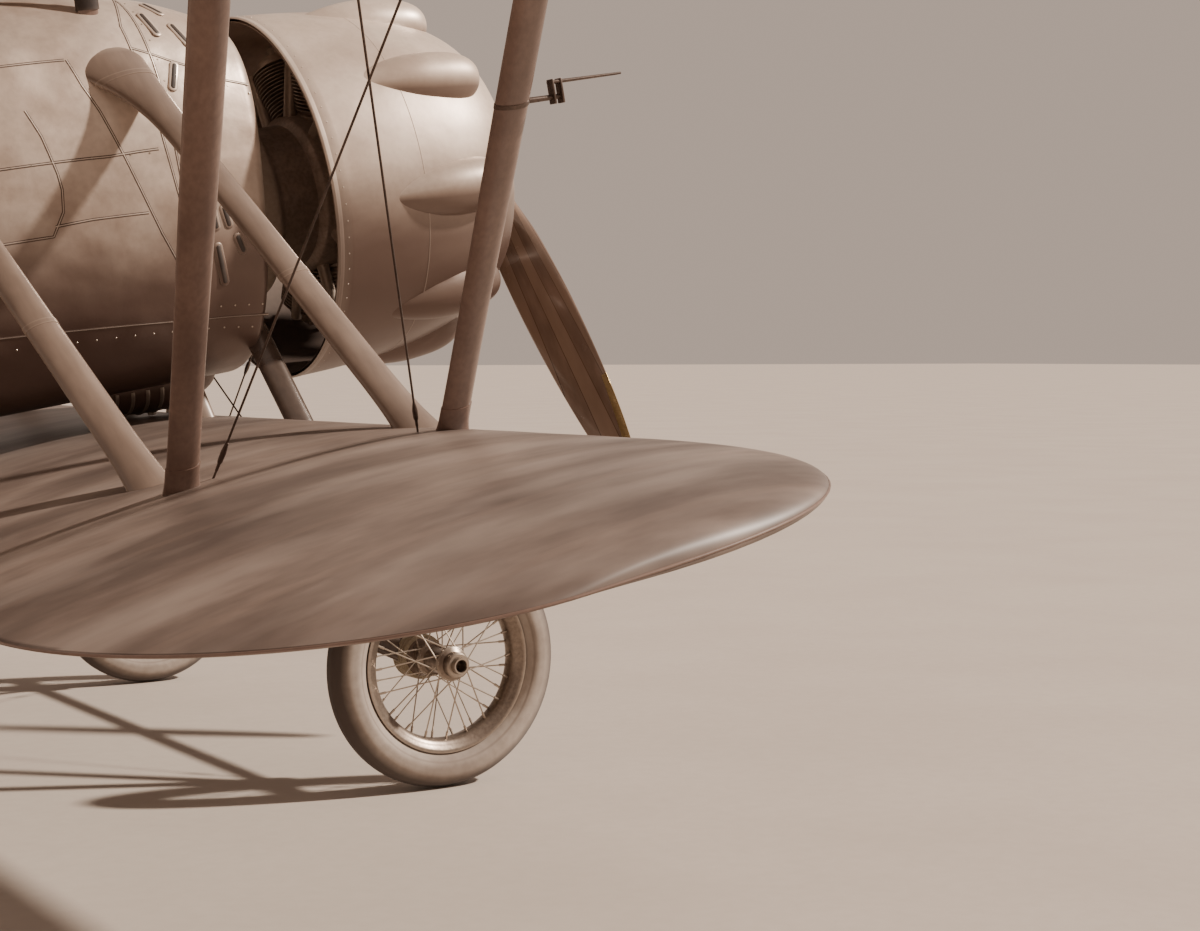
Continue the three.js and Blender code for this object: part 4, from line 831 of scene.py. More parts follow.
bm = bmesh.new()
makeBar(bm, (-2.01, 0, -0.43), (-2.06, 0, 0.14), 0.013, 0.011, 16)
turnProfile(bm, [(0, 0), (0.045, 0), (0.044, 0.02), (0.03, 0.035), (0.016, 0.05), (0, 0.05)], 24, [Matrix.Translation((-2.01, 0, -0.44))])
ring = [Vector((-2.062, 0.048 * math.cos(tau * i / 40), 0.18 + 0.048 * math.sin(tau * i / 40))) for i in range(40)]
makeStrip(bm, ring, [Vector((1, 0, 0))] * 40, 0.02, 0.01, around=12, closed=True)
asPiece("control_column", bm, "airframe", "steel", ("control_column",))

# Faired headrest on the rear deck, with its own pad
headrestRows = [(-2.612, 0.105, 0.7), (-2.78, 0.1, 0.69), (-3.12, 0.07, 0.56), (-3.46, 0.024, 0.392)]


def headrestAt(turn, row):
    x = lerp(headrestRows[0][0], headrestRows[-1][0], row / 30)
    half, crown = readTable(headrestRows, x)
    return Vector((x, half * math.cos(tau * turn), (crown + 0.28) / 2 + (crown - 0.28) / 2 * math.sin(tau * turn)))


bm = bmesh.new()
makeSkin(bm, 48, 31, headrestAt)
asPiece("headrest", bm, "airframe", "fuselageSkin", ("headrest",))
pad = {"x": -2.611, "z": 0.617, "wide": 0.074, "high": 0.062,
       "rows": [(0.9, 0), (0.97, 0.003), (1, 0.009), (0.985, 0.016), (0.93, 0.0225), (0.88, 0.0245), (0.84, 0.024), (0.8, 0.026),
                (0.68, 0.0325), (0.5, 0.037), (0.3, 0.0395), (0.12, 0.0405), (0.02, 0.0405)]}


def padAt(turn, row):
    scale, ahead = pad["rows"][row]
    pull = 1 - 0.025 * (1 - math.cos(4 * tau * turn)) / 2
    return Vector((pad["x"] + ahead, pad["wide"] * scale * pull * math.cos(tau * turn), pad["z"] + pad["high"] * scale * pull * math.sin(tau * turn)))


bm = bmesh.new()
makeSkin(bm, 64, len(pad["rows"]), padAt)
asPiece("headrest_pad", bm, "airframe", "leather", sharp=180)

# Windscreen: a thin curved sheet in a metal edge
screen = {"foot": (0.54, -1.88, 0.235, 0.07), "top": (0.835, -1.97, 0.175, 0.06), "swing": math.pi / 2.4, "wall": 0.006}


def screenAt(share, height, inset=0.0):
    z, x, half, bulge = (lerp(low, high, height) for low, high in zip(screen["foot"], screen["top"]))
    swing = (2 * share - 1) * screen["swing"]
    return Vector((x + (bulge - inset) * math.cos(swing), (half - inset) * math.sin(swing), z))


def screenFoot(share):
    height = 0.0
    while height < 0.9 and screenAt(share, height).z < deckAt(screenAt(share, height).x, screenAt(share, height).y) - 0.004:
        height += 0.01
    return height


def paneAt(turn, row):
    share = turn * 2 if turn <= 0.5 else 2 - turn * 2
    inset = 0.001 if turn <= 0.5 else 0.005
    return screenAt(share, lerp(screenFoot(share), 1, row / 8), inset)


bm = bmesh.new()
makeSkin(bm, 48, 9, paneAt)
asPiece("windscreen", bm, "airframe", "glass", ("windscreen",))
bm = bmesh.new()
edge = ([screenAt(0, lerp(screenFoot(0), 1, i / 8), 0.003) for i in range(8)] + [screenAt(i / 24, 1, 0.003) for i in range(25)]
        + [screenAt(1, lerp(1, screenFoot(1), i / 8), 0.003) for i in range(1, 9)])
makeStrip(bm, edge, [(Vector((point.x + 2.1, point.y * 0.6, 0))).normalized() for point in edge], 0.014, 0.004)
foot = [screenAt(i / 24, screenFoot(i / 24), 0.003) + Vector((0, 0, 0.006)) for i in range(25)]
makeStrip(bm, foot, [Vector((0, 0, 1))] * 25, 0.024, 0.006)
asPiece("windscreen_edge", bm, "airframe", "darkEnamelAndShade")
print("cockpit is made")


# Engine cowl: x and radius from the rear rim forwards
cowlRows = [(0, 0.55), (0.15, 0.547), (0.3, 0.536), (0.43, 0.516), (0.54, 0.486), (0.63, 0.446), (0.69, 0.4), (0.72, 0.355)]
cowl = {"wall": 0.012, "blisters": 9, "first": 16, "tail": 0.05, "long": 0.565, "wide": 0.086, "ride": 0.515, "tilt": 4.5}
forward = facing((0, 0, 0), (1, 0, 0))
outer = [(readTable(cowlRows, x)[0], x) for x in [0.004] + [0.715 * (1 - (1 - i / 40) ** 1.5) for i in range(2, 41)] + [0.72]]
inner = [(radius - cowl["wall"] * (0.5 if i == 0 else 1), max(0.0, x - 0.012 * x / 0.72)) for i, (radius, x) in enumerate(outer[:-1])]
profile = [(0.546, 0)] + outer + [(0.34, 0.7205), (0.328, 0.718), (0.32, 0.712), (0.3185, 0.705), (0.322, 0.7)] + inner[::-1] + [(0.546, 0)]
bm = bmesh.new()
turnProfile(bm, profile, 144, [forward])
asPiece("engine_cowl", bm, "airframe", "cowlMetal", ("engine_cowl",), sharp=50)
# A sheet just inside the cowl's wall, whose finish is darker towards the bottom: painted shade inside the cowl
bm = bmesh.new()
liner = [(readTable(cowlRows, min(0.72, 1.02 * x))[0] - cowl["wall"] - 0.0015, x) for x in stepsBetween(0.003, 0.68, 0.03)]
turnProfile(bm, liner + [(radius - 0.001, x) for radius, x in liner[::-1]] + liner[:1], 96, [forward])
asPiece("cowl_shade_liner", bm, "airframe", "linerMetal")


# Teardrop blisters: what would stand inside the cowl is drawn up under its skin.
def blisterAt(turn, row):
    at = (1 - math.cos(math.pi * row / 40)) / 2
    wide = (0.98 * math.sin(math.pi / 2 * at / 0.68) ** 1.4 if at < 0.68 else 0.98 * (1 - ((at - 0.68) / 0.32) ** 2.8) ** (1 / 2.8))
    tilt, up = math.radians(cowl["tilt"]), cowl["wide"] * wide * math.sin(tau * turn)
    x = cowl["tail"] + cowl["long"] * at * math.cos(tilt) + up * math.sin(tilt)
    point = Vector((0, cowl["wide"] * wide * math.cos(tau * turn), cowl["ride"] - cowl["long"] * at * math.sin(tilt) + up * math.cos(tilt)))
    least = readTable(cowlRows, x)[0] - 0.006
    if point.length < least:
        point *= least / point.length
    return Vector((x, point.y, point.z))


bm, part = bmesh.new(), bmesh.new()
makeSkin(part, 40, 41, blisterAt)
clock = [Matrix.Rotation(math.radians(cowl["first"] + 360 * i / cowl["blisters"]), 4, "X") for i in range(cowl["blisters"])]
copyInto(bm, part, clock)
asPiece("cowl_blisters", bm, "airframe", "cowlMetal", sharp=50)
bm = bmesh.new()
for x, wide in ((0.012, 0.008), (0.31, 0.002)):
    radius = readTable(cowlRows, x)[0]
    turnProfile(bm, [(radius - 0.003, x - wide), (radius + 0.0006, x - 0.8 * wide), (radius + 0.0009, x), (radius + 0.0006, x + 0.8 * wide),
                     (radius - 0.003, x + wide)], 144, [forward])
for i in range(72):
    place = Matrix.Rotation(tau * i / 72, 4, "X") @ Matrix.Translation((0.034, 0, readTable(cowlRows, 0.034)[0]))
    bmesh.ops.create_cone(bm, cap_ends=True, segments=8, radius1=0.0034, radius2=0.002, depth=0.0024, matrix=place)
asPiece("cowl_bands", bm, "airframe", "cowlMetal")
print("cowl is made")

# Engine: drum, crankcase and nine finned cylinders with their pushrods, pipes and plugs
bm = bmesh.new()
turnProfile(bm, [(0, -0.185), (0.3, -0.185), (0.3, -0.06), (0.29, -0.045), (0.225, -0.008), (0.215, 0.01), (0.215, 0.115), (0.235, 0.13),
                 (0.238, 0.14), (0.238, 0.36), (0.232, 0.374), (0.2, 0.39), (0.15, 0.46), (0.12, 0.52), (0.1, 0.6), (0.09, 0.62),
                 (0.06, 0.635), (0.032, 0.64), (0.032, 0.86), (0, 0.86)], 72, [forward])
for i in range(18):
    place = Matrix.Rotation(tau * (i + 0.5) / 18, 4, "X")
    makeBar(bm, place @ Vector((0.37, 0, 0.216)), place @ Vector((0.386, 0, 0.216)), 0.009, sides=6)
    if i % 2:
        makeBar(bm, place @ Vector((0.4, 0, 0.186)), place @ Vector((0.54, 0, 0.106)), 0.008, 0.006, 8)
asPiece("engine", bm, "airframe", "engineMetal", ("engine",))
barrel = [(0, 0.18), (0.07, 0.18), (0.07, 0.24), (0.062, 0.246)]
for i in range(15):
    height, wide = 0.256 + 0.0115 * i, 0.08 + 0.012 * min(1, i / 9)
    barrel += [(0.06, height), (wide, height + 0.0015), (wide, height + 0.0042), (0.06, height + 0.0055)]
barrel += [(0.066, 0.434), (0.062, 0.458), (0.04, 0.468), (0, 0.468)]
bm = bmesh.new()
upright = [place @ Matrix.Translation((0.25, 0, 0)) for place in clock]
turnProfile(bm, barrel, 28, upright)
for place in upright:
    for way in (-1, 1):
        makeBar(bm, place @ Vector((0.085, way * 0.022, 0.2)), place @ Vector((0.078, way * 0.034, 0.47)), 0.006)
        makeBar(bm, place @ Vector((0.02, way * 0.055, 0.44)), place @ Vector((0.03, way * 0.085, 0.452)), 0.009, 0.005, 8)
        makeBlock(bm, place @ Vector((0.035, way * 0.034, 0.478)), (0.1, 0.022, 0.03), 0.005, place.to_3x3().to_4x4())
    makeBar(bm, place @ Vector((-0.09, 0.05, 0.17)), place @ Vector((-0.07, 0.05, 0.44)), 0.02, 0.017, 12)
    turnProfile(bm, [(0, 0.46), (0.02, 0.46), (0.018, 0.5), (0.008, 0.508), (0, 0.508)], 14, [place])
asPiece("engine_cylinders", bm, "airframe", "engineMetal")
print("engine is made")

# Propeller: blade stations are radius, chord, thickness and angle to the plane it turns in.
bladeRows = [(0.04, 0.12, 0.096, 60), (0.15, 0.12, 0.078, 56), (0.33, 0.165, 0.04, 42), (0.62, 0.19, 0.026, 29),
             (0.9, 0.172, 0.018, 22), (1.1, 0.122, 0.012, 18), (1.188, 0.06, 0.008, 16), (1.2, 0.026, 0.006, 16)]
propeller = {"boss": 0.105, "half": 0.062, "bore": 0.049, "lean": -32, "plate": 0.08}


def bladePoint(radius, turn, swell=0.0):
    chord, thick, angle = readTable(bladeRows, radius)
    wide, deep = (chord / 2 + swell) * math.cos(tau * turn), (thick / 2 + swell) * math.sin(tau * turn)
    slope = math.radians(angle)
    return Vector((propellerAhead + wide * math.sin(slope) + deep * math.cos(slope),
                   wide * math.cos(slope) - deep * math.sin(slope), radius))


lean = Matrix.Rotation(math.radians(propeller["lean"]), 4, "X")
pairs = [lean, lean @ Matrix.Rotation(math.pi, 4, "X")]
bm, part = bmesh.new(), bmesh.new()
spread = [lerp(0.075, 1.1, i / 40) for i in range(40)] + [1.2 - 0.1 * (1 - i / 14) ** 1.8 for i in range(15)]
makeSkin(part, 36, len(spread), lambda turn, row: bladePoint(spread[row], turn))
copyInto(bm, part, pairs)
half, plane, ringWide, bore = propeller["half"], propellerAhead, propeller["boss"], propeller["bore"]
turnProfile(bm, [(bore, plane - half), (ringWide - 0.008, plane - half), (ringWide, plane - half + 0.01), (ringWide, plane + half - 0.01),
                 (ringWide - 0.008, plane + half), (bore, plane + half), (bore, plane - half)], 48, [forward])
asPiece("propeller", bm, "propeller", "bladeWood", ("propeller",), sharp=55)


# Sheathing round the leading edge near each tip
def sheathAt(turn, row):
    share = turn * 2 if turn <= 0.5 else 2 - turn * 2
    reach = lerp(0.1, 0.17, row / 20)
    return bladePoint(lerp(0.86, 1.188, row / 20), lerp(-reach, reach, share), 0.0009 if turn <= 0.5 else -0.0006)


bm, part = bmesh.new(), bmesh.new()
makeSkin(part, 32, 21, sheathAt)
copyInto(bm, part, pairs)
asPiece("propeller_tip_sheaths", bm, "propeller", "brass")
bm = bmesh.new()
plate, face = propeller["plate"], plane + half
turnProfile(bm, [(0.034, plane - half - 0.014), (plate, plane - half - 0.014), (plate, plane - half - 0.0005), (0.0478, plane - half - 0.0005),
                 (0.0478, face + 0.0005), (plate - 0.004, face + 0.0005), (plate, face + 0.003), (plate, face + 0.01), (plate - 0.004, face + 0.0125),
                 (0.046, face + 0.014), (0.041, face + 0.022), (0.037, face + 0.036), (0.035, face + 0.044), (0.028, face + 0.0478),
                 (0, face + 0.048)], 48, [forward])
for i in range(8):
    place = Matrix.Rotation(tau * i / 8 + 0.2, 4, "X")
    makeBar(bm, place @ Vector((face + 0.012, 0, 0.063)), place @ Vector((face + 0.021, 0, 0.063)), 0.0095, sides=6)
    makeBar(bm, place @ Vector((face + 0.02, 0, 0.063)), place @ Vector((face + 0.027, 0, 0.063)), 0.0048, sides=10)
asPiece("propeller_hub", bm, "propeller", "steel", ("propeller_hub",))
print("propeller is made")


# Struts: rows are share of the way, chord, thickness and how far back the section sits.
def strutBasis(start, end):
    run = end - start
    along = run.normalized()
    ahead = Vector((1, 0, 0))
    ahead = (ahead - along * ahead.dot(along)).normalized()
    return run, ahead, along.cross(ahead)


def makeStrut(bm, start, end, rows, low=0.0, high=1.0, swell=0.0, around=30, step=0.02):
    start, end = Vector(start), Vector(end)
    run, ahead, across = strutBasis(start, end)
    spots = stepsBetween(low, high, step)

    def placeAt(turn, row):
        chord, thick, back = readTable(rows, spots[row])
        angle = tau * turn
        return (start + run * spots[row] + ahead * ((chord / 2 + swell) * math.cos(angle) - back)
                + across * ((thick / 2 + swell) * math.sin(angle) * (0.82 + 0.18 * math.cos(angle))))

    makeSkin(bm, around, len(spots), placeAt)


straightRows = [(0, 0.104, 0.062, 0), (0.045, 0.076, 0.038, 0), (0.5, 0.08, 0.038, 0), (0.96, 0.076, 0.038, 0), (1, 0.09, 0.05, 0)]
flaredRows = [(0, 0.128, 0.084, 0), (0.07, 0.1, 0.06, 0), (0.16, 0.09, 0.052, 0), (0.78, 0.09, 0.052, 0), (0.9, 0.132, 0.064, 0.016),
              (1, 0.25, 0.092, 0.062)]
shoulders = {"front": (-0.478, 0.44), "rear": (-1.13, 0.397)}


def evenBar(chord, thick):
    return [(0, chord, thick, 0), (1, chord, thick, 0)]


def sidePoint(x, y, z, side):
    return Vector((x, y * side, z))


def makeWire(bm, start, end, radius=0.0026):
    makeBar(bm, start, end, radius, sides=8)
    run = (Vector(end) - Vector(start)).normalized()
    for spot, way in ((Vector(start), run), (Vector(end), -run)):
        turnProfile(bm, [(0, 0), (0.0035, 0.001), (0.0038, 0.02), (0.006, 0.028), (0.0064, 0.055), (0.005, 0.068), (0.0032, 0.082),
                         (0, 0.084)], 12, [facing(spot + way * 0.05, way)])


for label, side in sides:
    for place, share in spars.items():
        foot, top = wingPoint(lowerWing, strutFoot, share), wingPoint(upperWing, strutTop, share)
        low, high = sidePoint(foot.x, -strutFoot - 0.012, foot.z, side), sidePoint(top.x, -strutTop, top.z, side)
        bm = bmesh.new()
        makeStrut(bm, low, high, straightRows)
        asPiece(f"interplane_strut_{place}_{label}", bm, "airframe", "darkWood", (f"interplane_strut_{place}_{label}",))
        bm = bmesh.new()
        for near, far in ((0.02, 0.062), (0.935, 0.98)):
            makeStrut(bm, low, high, straightRows, near, far, 0.0018, step=0.006)
        asPiece(f"strut_cuffs_{place}_{label}", bm, "airframe", "darkWood")
        shoulder = shoulders[place]
        low = sidePoint(foot.x + 0.004, -strutFoot + 0.095, foot.z, side)
        high = sidePoint(shoulder[0], -0.36, shoulder[1], side)
        bm = bmesh.new()
        makeStrut(bm, low, high, flaredRows, around=40, step=0.012)
        for at in (0.395, 0.93):
            makeStrut(bm, low, high, flaredRows, at, at + 0.011, 0.0014, around=40, step=0.00275)
        asPiece(f"diagonal_strut_{place}_{label}", bm, "airframe", "paleStrut", (f"diagonal_strut_{place}_{label}",))
    bm = bmesh.new()
    for near, far, lowShift, highShift in (("front", "rear", -0.075, 0.075), ("rear", "front", 0.075, -0.075)):
        foot, top = wingPoint(lowerWing, strutFoot, spars[near]), wingPoint(upperWing, strutTop, spars[far])
        makeWire(bm, sidePoint(foot.x + lowShift, -strutFoot - 0.012, foot.z + 0.03, side),
                 sidePoint(top.x + highShift, -strutTop, top.z - 0.03, side))
    asPiece(f"incidence_wires_{label}", bm, "airframe", "wireSteel", (f"incidence_wires_{label}",))
    bm = bmesh.new()
    frontTop, rearTop = (wingPoint(upperWing, 0.33, spars[place]) for place in ("front", "rear"))
    tops = {"front": sidePoint(frontTop.x, -0.33, frontTop.z, side), "rear": sidePoint(rearTop.x, -0.33, rearTop.z, side)}
    feet = {"front": sidePoint(-0.52, -0.29, 0.5, side), "rear": sidePoint(-1.12, -0.29, 0.5, side)}
    for place in ("front", "rear"):
        makeStrut(bm, feet[place], tops[place], evenBar(0.06, 0.03))
    makeStrut(bm, feet["rear"] + Vector((0, -0.004 * side, 0.08)), tops["front"] + Vector((0, 0.002 * side, -0.03)), evenBar(0.06, 0.03))
    asPiece(f"cabane_frame_{label}", bm, "airframe", "darkWood", (f"cabane_frame_{label}",))
    bm = bmesh.new()
    for place in ("front", "rear"):
        makeStrut(bm, feet[place], tops[place], evenBar(0.064, 0.034), 0.2, 0.4, 0.0018, step=0.02)
        makeStrut(bm, feet[place], tops[place], evenBar(0.064, 0.034), 0.8, 0.96, 0.0018, step=0.02)
    asPiece(f"cabane_cuffs_{label}", bm, "airframe", "darkEnamelAndShade")
    for place, share in (("front", spars["front"] + 0.03), ("rear", spars["rear"])):
        foot = wingPoint(lowerWing, 0.32, share)
        bm = bmesh.new()
        makeStrut(bm, sidePoint(foot.x, -0.34, foot.z, side), sidePoint(foot.x, -0.21, -0.4, side), evenBar(0.064, 0.034), step=0.05)
        asPiece(f"wing_root_strut_{place}_{label}", bm, "airframe", "paleStrut", (f"wing_root_strut_{place}_{label}",))
print("struts are made")

# Undercarriage
gear = {"legEnd": 0.925, "socket": 0.052, "socketHalf": 0.038, "axle": 0.022, "axleEnd": 1.165, "track": 1.06}
ax, az = axlePlace.x, axlePlace.z
for label, side in sides:
    bm = bmesh.new()
    under = wingPoint(lowerWing, 0.45, spars["rear"])
    frontLow, frontHigh = sidePoint(ax - 0.01, -gear["legEnd"], az + 0.01, side), sidePoint(-0.182, -0.25, -0.36, side)
    rearLow, rearHigh = sidePoint(ax, -gear["legEnd"], az, side), sidePoint(under.x, -0.45, under.z, side)
    makeStrut(bm, frontLow, frontHigh, evenBar(0.082, 0.04))
    makeStrut(bm, rearLow, rearHigh, evenBar(0.082, 0.04))
    outward = facing((ax, -gear["legEnd"] * side, az), (0, -side, 0))
    wide, end = gear["socket"], gear["socketHalf"]
    turnProfile(bm, [(0.0225, -end), (wide - 0.005, -end), (wide, -end + 0.005), (wide, end - 0.005), (wide - 0.005, end), (0.0225, end),
                     (0.0225, -end)], 40, [outward])
    asPiece(f"gear_legs_{label}", bm, "airframe", "gearPaint", (f"gear_legs_{label}",))
    bm = bmesh.new()
    for i in range(5):
        turnProfile(bm, [(0.0225, -0.0065), (wide + 0.004, -0.0065), (wide + 0.008, -0.0045), (wide + 0.0098, 0), (wide + 0.008, 0.0045),
                         (wide + 0.004, 0.0065), (0.0225, 0.0065), (0.0225, -0.0065)], 32,
                    [outward @ Matrix.Translation((0, 0, (i - 2) * 0.0132))])
    asPiece(f"shock_cord_{label}", bm, "airframe", "webbing")
bm = bmesh.new()
makeBar(bm, (ax, -1.12, az), (ax, 1.12, az), gear["axle"], sides=32)
for way in (-1, 1):
    turnProfile(bm, [(0, -0.002), (0.022, -0.002), (0.022, 0.042), (0.0208, 0.045), (0.017, 0.045), (0.0158, 0.043), (0.0158, 0.004), (0, 0.004)],
                32, [facing((ax, way * 1.12, az), (0, way, 0))])
    turnProfile(bm, [(0.021, 0), (0.034, 0.001), (0.034, 0.006), (0.021, 0.007)], 24, [facing((ax, way * 0.962, az), (0, way, 0))])
asPiece("axle", bm, "airframe", "steel", ("axle",))
bm = bmesh.new()
for way in (-1, 1):
    makeWire(bm, (ax - 0.005, way * 0.84, az + 0.02), (ax - 0.005, -way * 0.23, -0.42))
asPiece("gear_wires", bm, "airframe", "wireSteel", ("gear_wires",))

# Wheels: channel rim, two rows of crossing spokes, flanged hub
wheel = {"radius": 0.335, "section": 0.052, "rim": 0.233, "spokes": 40, "flange": 0.052}
rimRows = [(-0.0005, 0), (-0.0005, 0.014), (0.0018, 0.024), (0.006, 0.031), (0.0082, 0.0345), (0.0072, 0.0374), (0.003, 0.038), (-0.003, 0.036),
           (-0.009, 0.031), (-0.014, 0.0285), (-0.02, 0.025), (-0.0262, 0.018), (-0.029, 0.009), (-0.03, 0)]
hubRows = [(0.031, 0), (0.034, 0.04), (0.04, 0.045), (0.046, 0.049), (0.046, 0.055), (0.04, 0.06), (0.034, 0.064), (0.034, 0.086), (0.03, 0.09),
           (0.0227, 0.09)]
for label, side in sides:
    place = facing((ax, -gear["track"] * side, az), (0, -side, 0))
    bm = bmesh.new()
    profile = []
    for i in range(57):
        angle = lerp(-0.94, 0.94, i / 56) * math.pi
        groove = 0.0012 if i in (23, 24, 28, 32, 33) else 0
        band = 0.001 if 10 <= i <= 12 or 44 <= i <= 46 else 0
        reach = wheel["section"] - 0.0004 - groove + band
        profile.append((max(wheel["radius"] - wheel["section"] + reach * math.cos(angle), wheel["rim"] + 0.0004), reach * math.sin(angle)))
    turnProfile(bm, profile + profile[:1], 112, [place])
    asPiece(f"tyre_{label}", bm, f"wheel_{label}", "tyre", (f"tyre_{label}",), sharp=60)
    bm = bmesh.new()
    rim = wheel["rim"]
    half = [(rim + radius, out) for radius, out in rimRows]
    turnProfile(bm, half + [(radius, -out) for radius, out in half[-2::-1]], 112, [place])
    turnProfile(bm, [(radius, -out) for radius, out in hubRows[::-1]] + hubRows[1:] + [(0.0227, -0.09)], 40, [place])
    for i in range(wheel["spokes"]):
        angle, face = tau * i / wheel["spokes"], (1 if i % 2 else -1)
        lean = angle + (0.72 if i % 4 < 2 else -0.72)
        start = place @ Vector((0.041 * math.cos(lean), 0.041 * math.sin(lean), face * wheel["flange"]))
        end = place @ Vector(((rim - 0.028) * math.cos(angle), (rim - 0.028) * math.sin(angle), face * 0.01))
        makeBar(bm, start, end, 0.0019, sides=6)
        makeBar(bm, lerp(start, end, 0.9), end, 0.0036, 0.003, 6)
        makeBar(bm, start - place.to_3x3() @ Vector((0, 0, 0.006)), start + place.to_3x3() @ Vector((0, 0, 0.006)), 0.0035, sides=6)
    asPiece(f"wheel_{label}", bm, f"wheel_{label}", "steel", (f"wheel_{label}",))
print("undercarriage is made")

# Belly sump with a drain plug
bm = bmesh.new()
sump = {"x": -0.44, "z": -0.482, "size": (0.215, 0.12, 0.084)}
bmesh.ops.create_uvsphere(bm, u_segments=48, v_segments=24, radius=1, matrix=Matrix.Translation((sump["x"], 0, sump["z"]))
                          @ Matrix.Diagonal((*sump["size"], 1)) @ Matrix.Rotation(math.pi / 2, 4, "Y"))
for i in range(-3, 4):
    reach = math.sqrt(1 - (i / 5) ** 2)
    ring = [Vector((sump["x"] + i * 0.043, sump["size"][1] * reach * math.cos(math.radians(a)), sump["z"] + sump["size"][2] * reach
                    * math.sin(math.radians(a)))) for a in range(186, 355, 6)]
    makeStrip(bm, ring, [Vector((0, point.y, point.z - sump["z"])).normalized() for point in ring], 0.012, 0.003)
makeBar(bm, (sump["x"], 0, sump["z"] - 0.08), (sump["x"], 0, sump["z"] - 0.093), 0.014, 0.012, 6)
asPiece("belly_sump", bm, "airframe", "panelMetal", ("belly_sump",))


# Tail surfaces: sections between a front and a rear edge, from one edge of the span to the other
tail = {"plane": 0.268, "nose": -3.96, "hinge": -4.56, "halfSpan": 1.25, "tube": 0.013, "elevator": 0.016, "thick": 0.044,
        "gap": 0.007, "ribPitch": 0.2}


def tailSection(front, rear, half, turn, sag, blunt):
    back = (1 + math.cos(tau * turn)) / 2
    side = 0 if turn in (0, 0.5, 1) else (1 if turn < 0.5 else -1)
    shape = (1 - abs(2 * back - 1) ** 5) ** 0.5 if back < 0.5 or not blunt else 1
    return lerp(front, rear, back), side * (half * shape - sag * math.sin(math.pi * back))


def planeFront(y):
    out = max(0, abs(y) - 0.83) / 0.42
    return tail["nose"] - 0.42 + 0.42 * math.sqrt(max(0, 1 - out * out))


def ribSag(out):
    return 0.0012 * math.sin(math.pi * out / tail["ribPitch"]) ** 2


planeRear = tail["hinge"] + tail["elevator"] + tail["gap"]
spread = sorted(set(stepsBetween(-0.83, 0.83, 0.035) + [way * (0.83 + 0.42 * math.sin(math.radians(a))) for way in (-1, 1) for a in range(4, 71, 4)]))


def planeAt(turn, row):
    y = spread[row]
    x, up = tailSection(planeFront(y), planeRear, tail["thick"] / 2, turn, ribSag(y), True)
    return Vector((x, y, tail["plane"] + up))


bm = bmesh.new()
makeSkin(bm, 48, len(spread), planeAt)
for way in (-1, 1):
    makeBlock(bm, (-4.5545, way * 0.095, tail["plane"]), (0.047, 0.028, 0.036), 0.004)
asPiece("tailplane", bm, "airframe", "wingSkin", ("tailplane",), sharp=50)


def elevatorRear(y):
    if y < 0.3:
        return lerp(tail["hinge"] - 0.01, -4.81, (y - 0.15) / 0.15)
    if y < 0.92:
        return lerp(-4.81, -5.0, (y - 0.3) / 0.62)
    return -4.74 - 0.26 * math.sqrt(max(0, 1 - ((y - 0.92) / 0.33) ** 2))


reaches = stepsBetween(0.15, 0.3, 0.02)[:-1] + stepsBetween(0.3, 0.92, 0.033) + [0.92 + 0.33 * math.sin(math.radians(a)) for a in range(5, 71, 5)]
bm = bmesh.new()
for way in (-1, 1):
    def elevatorAt(turn, row):
        y = reaches[row]
        x, up = tailSection(tail["hinge"] + tail["elevator"], elevatorRear(y), tail["elevator"], turn, ribSag(y), False)
        taper = max(0.35, 1 - max(0, tail["hinge"] - x) * 1.3)
        return Vector((x, way * y, tail["plane"] + up * taper))
    makeSkin(bm, 48, len(reaches), elevatorAt)
    horn = Vector((tail["hinge"] - 0.01, way * 0.42, tail["plane"]))
    for level in (-1, 1):
        makeBar(bm, horn + Vector((0, 0, level * 0.014)), horn + Vector((0, 0, level * 0.1)), 0.012, 0.006, 12)
makeBar(bm, (tail["hinge"], -0.17, tail["plane"]), (tail["hinge"], 0.17, tail["plane"]), tail["tube"], sides=24)
asPiece("elevator", bm, "elevator", "wingSkin", ("elevator",), sharp=50)

post = {"x": -4.735, "radius": 0.017, "foot": -0.165, "head": 0.905}
finBase = tail["plane"] + tail["thick"] / 2 + 0.0003
finRear = post["x"] + post["radius"] + tail["gap"]
levels = stepsBetween(finBase, 0.424, 0.02) + [0.33 + 0.54 * math.sin(math.radians(a)) for a in range(15, 81, 5)]


def finAt(turn, row):
    z = levels[row]
    front = (lerp(-4.14, -4.18, (z - finBase) / (0.424 - finBase)) if z < 0.424
             else finRear - 0.02 + 0.56 * math.sqrt(max(0, 1 - ((z - 0.33) / 0.54) ** 2)))
    x, out = tailSection(front, finRear, 0.02, turn, 0.0006, True)
    return Vector((x, out, z))


bm = bmesh.new()
makeSkin(bm, 48, len(levels), finAt)
asPiece("fin", bm, "airframe", "wingSkin", ("fin",), sharp=50)


def rudderRear(z):
    away = (z - 0.615) / 0.29 if z > 0.615 else ((0.125 - z) / 0.29 if z < 0.125 else 0)
    return -4.905 - 0.275 * math.sqrt(max(0, 1 - away * away))


heights = ([0.125 - 0.29 * math.cos(math.radians(a)) for a in range(2, 90, 6)] + stepsBetween(0.125, 0.615, 0.035)
           + [0.615 + 0.29 * math.sin(math.radians(a)) for a in range(6, 89, 6)])


def rudderAt(turn, row):
    z = heights[row]
    x, out = tailSection(post["x"] + post["radius"], rudderRear(z), post["radius"], turn, ribSag(z), False)
    taper = max(0.3, 1 - max(0, post["x"] - x) * 1.4)
    return Vector((x, out * taper, z))


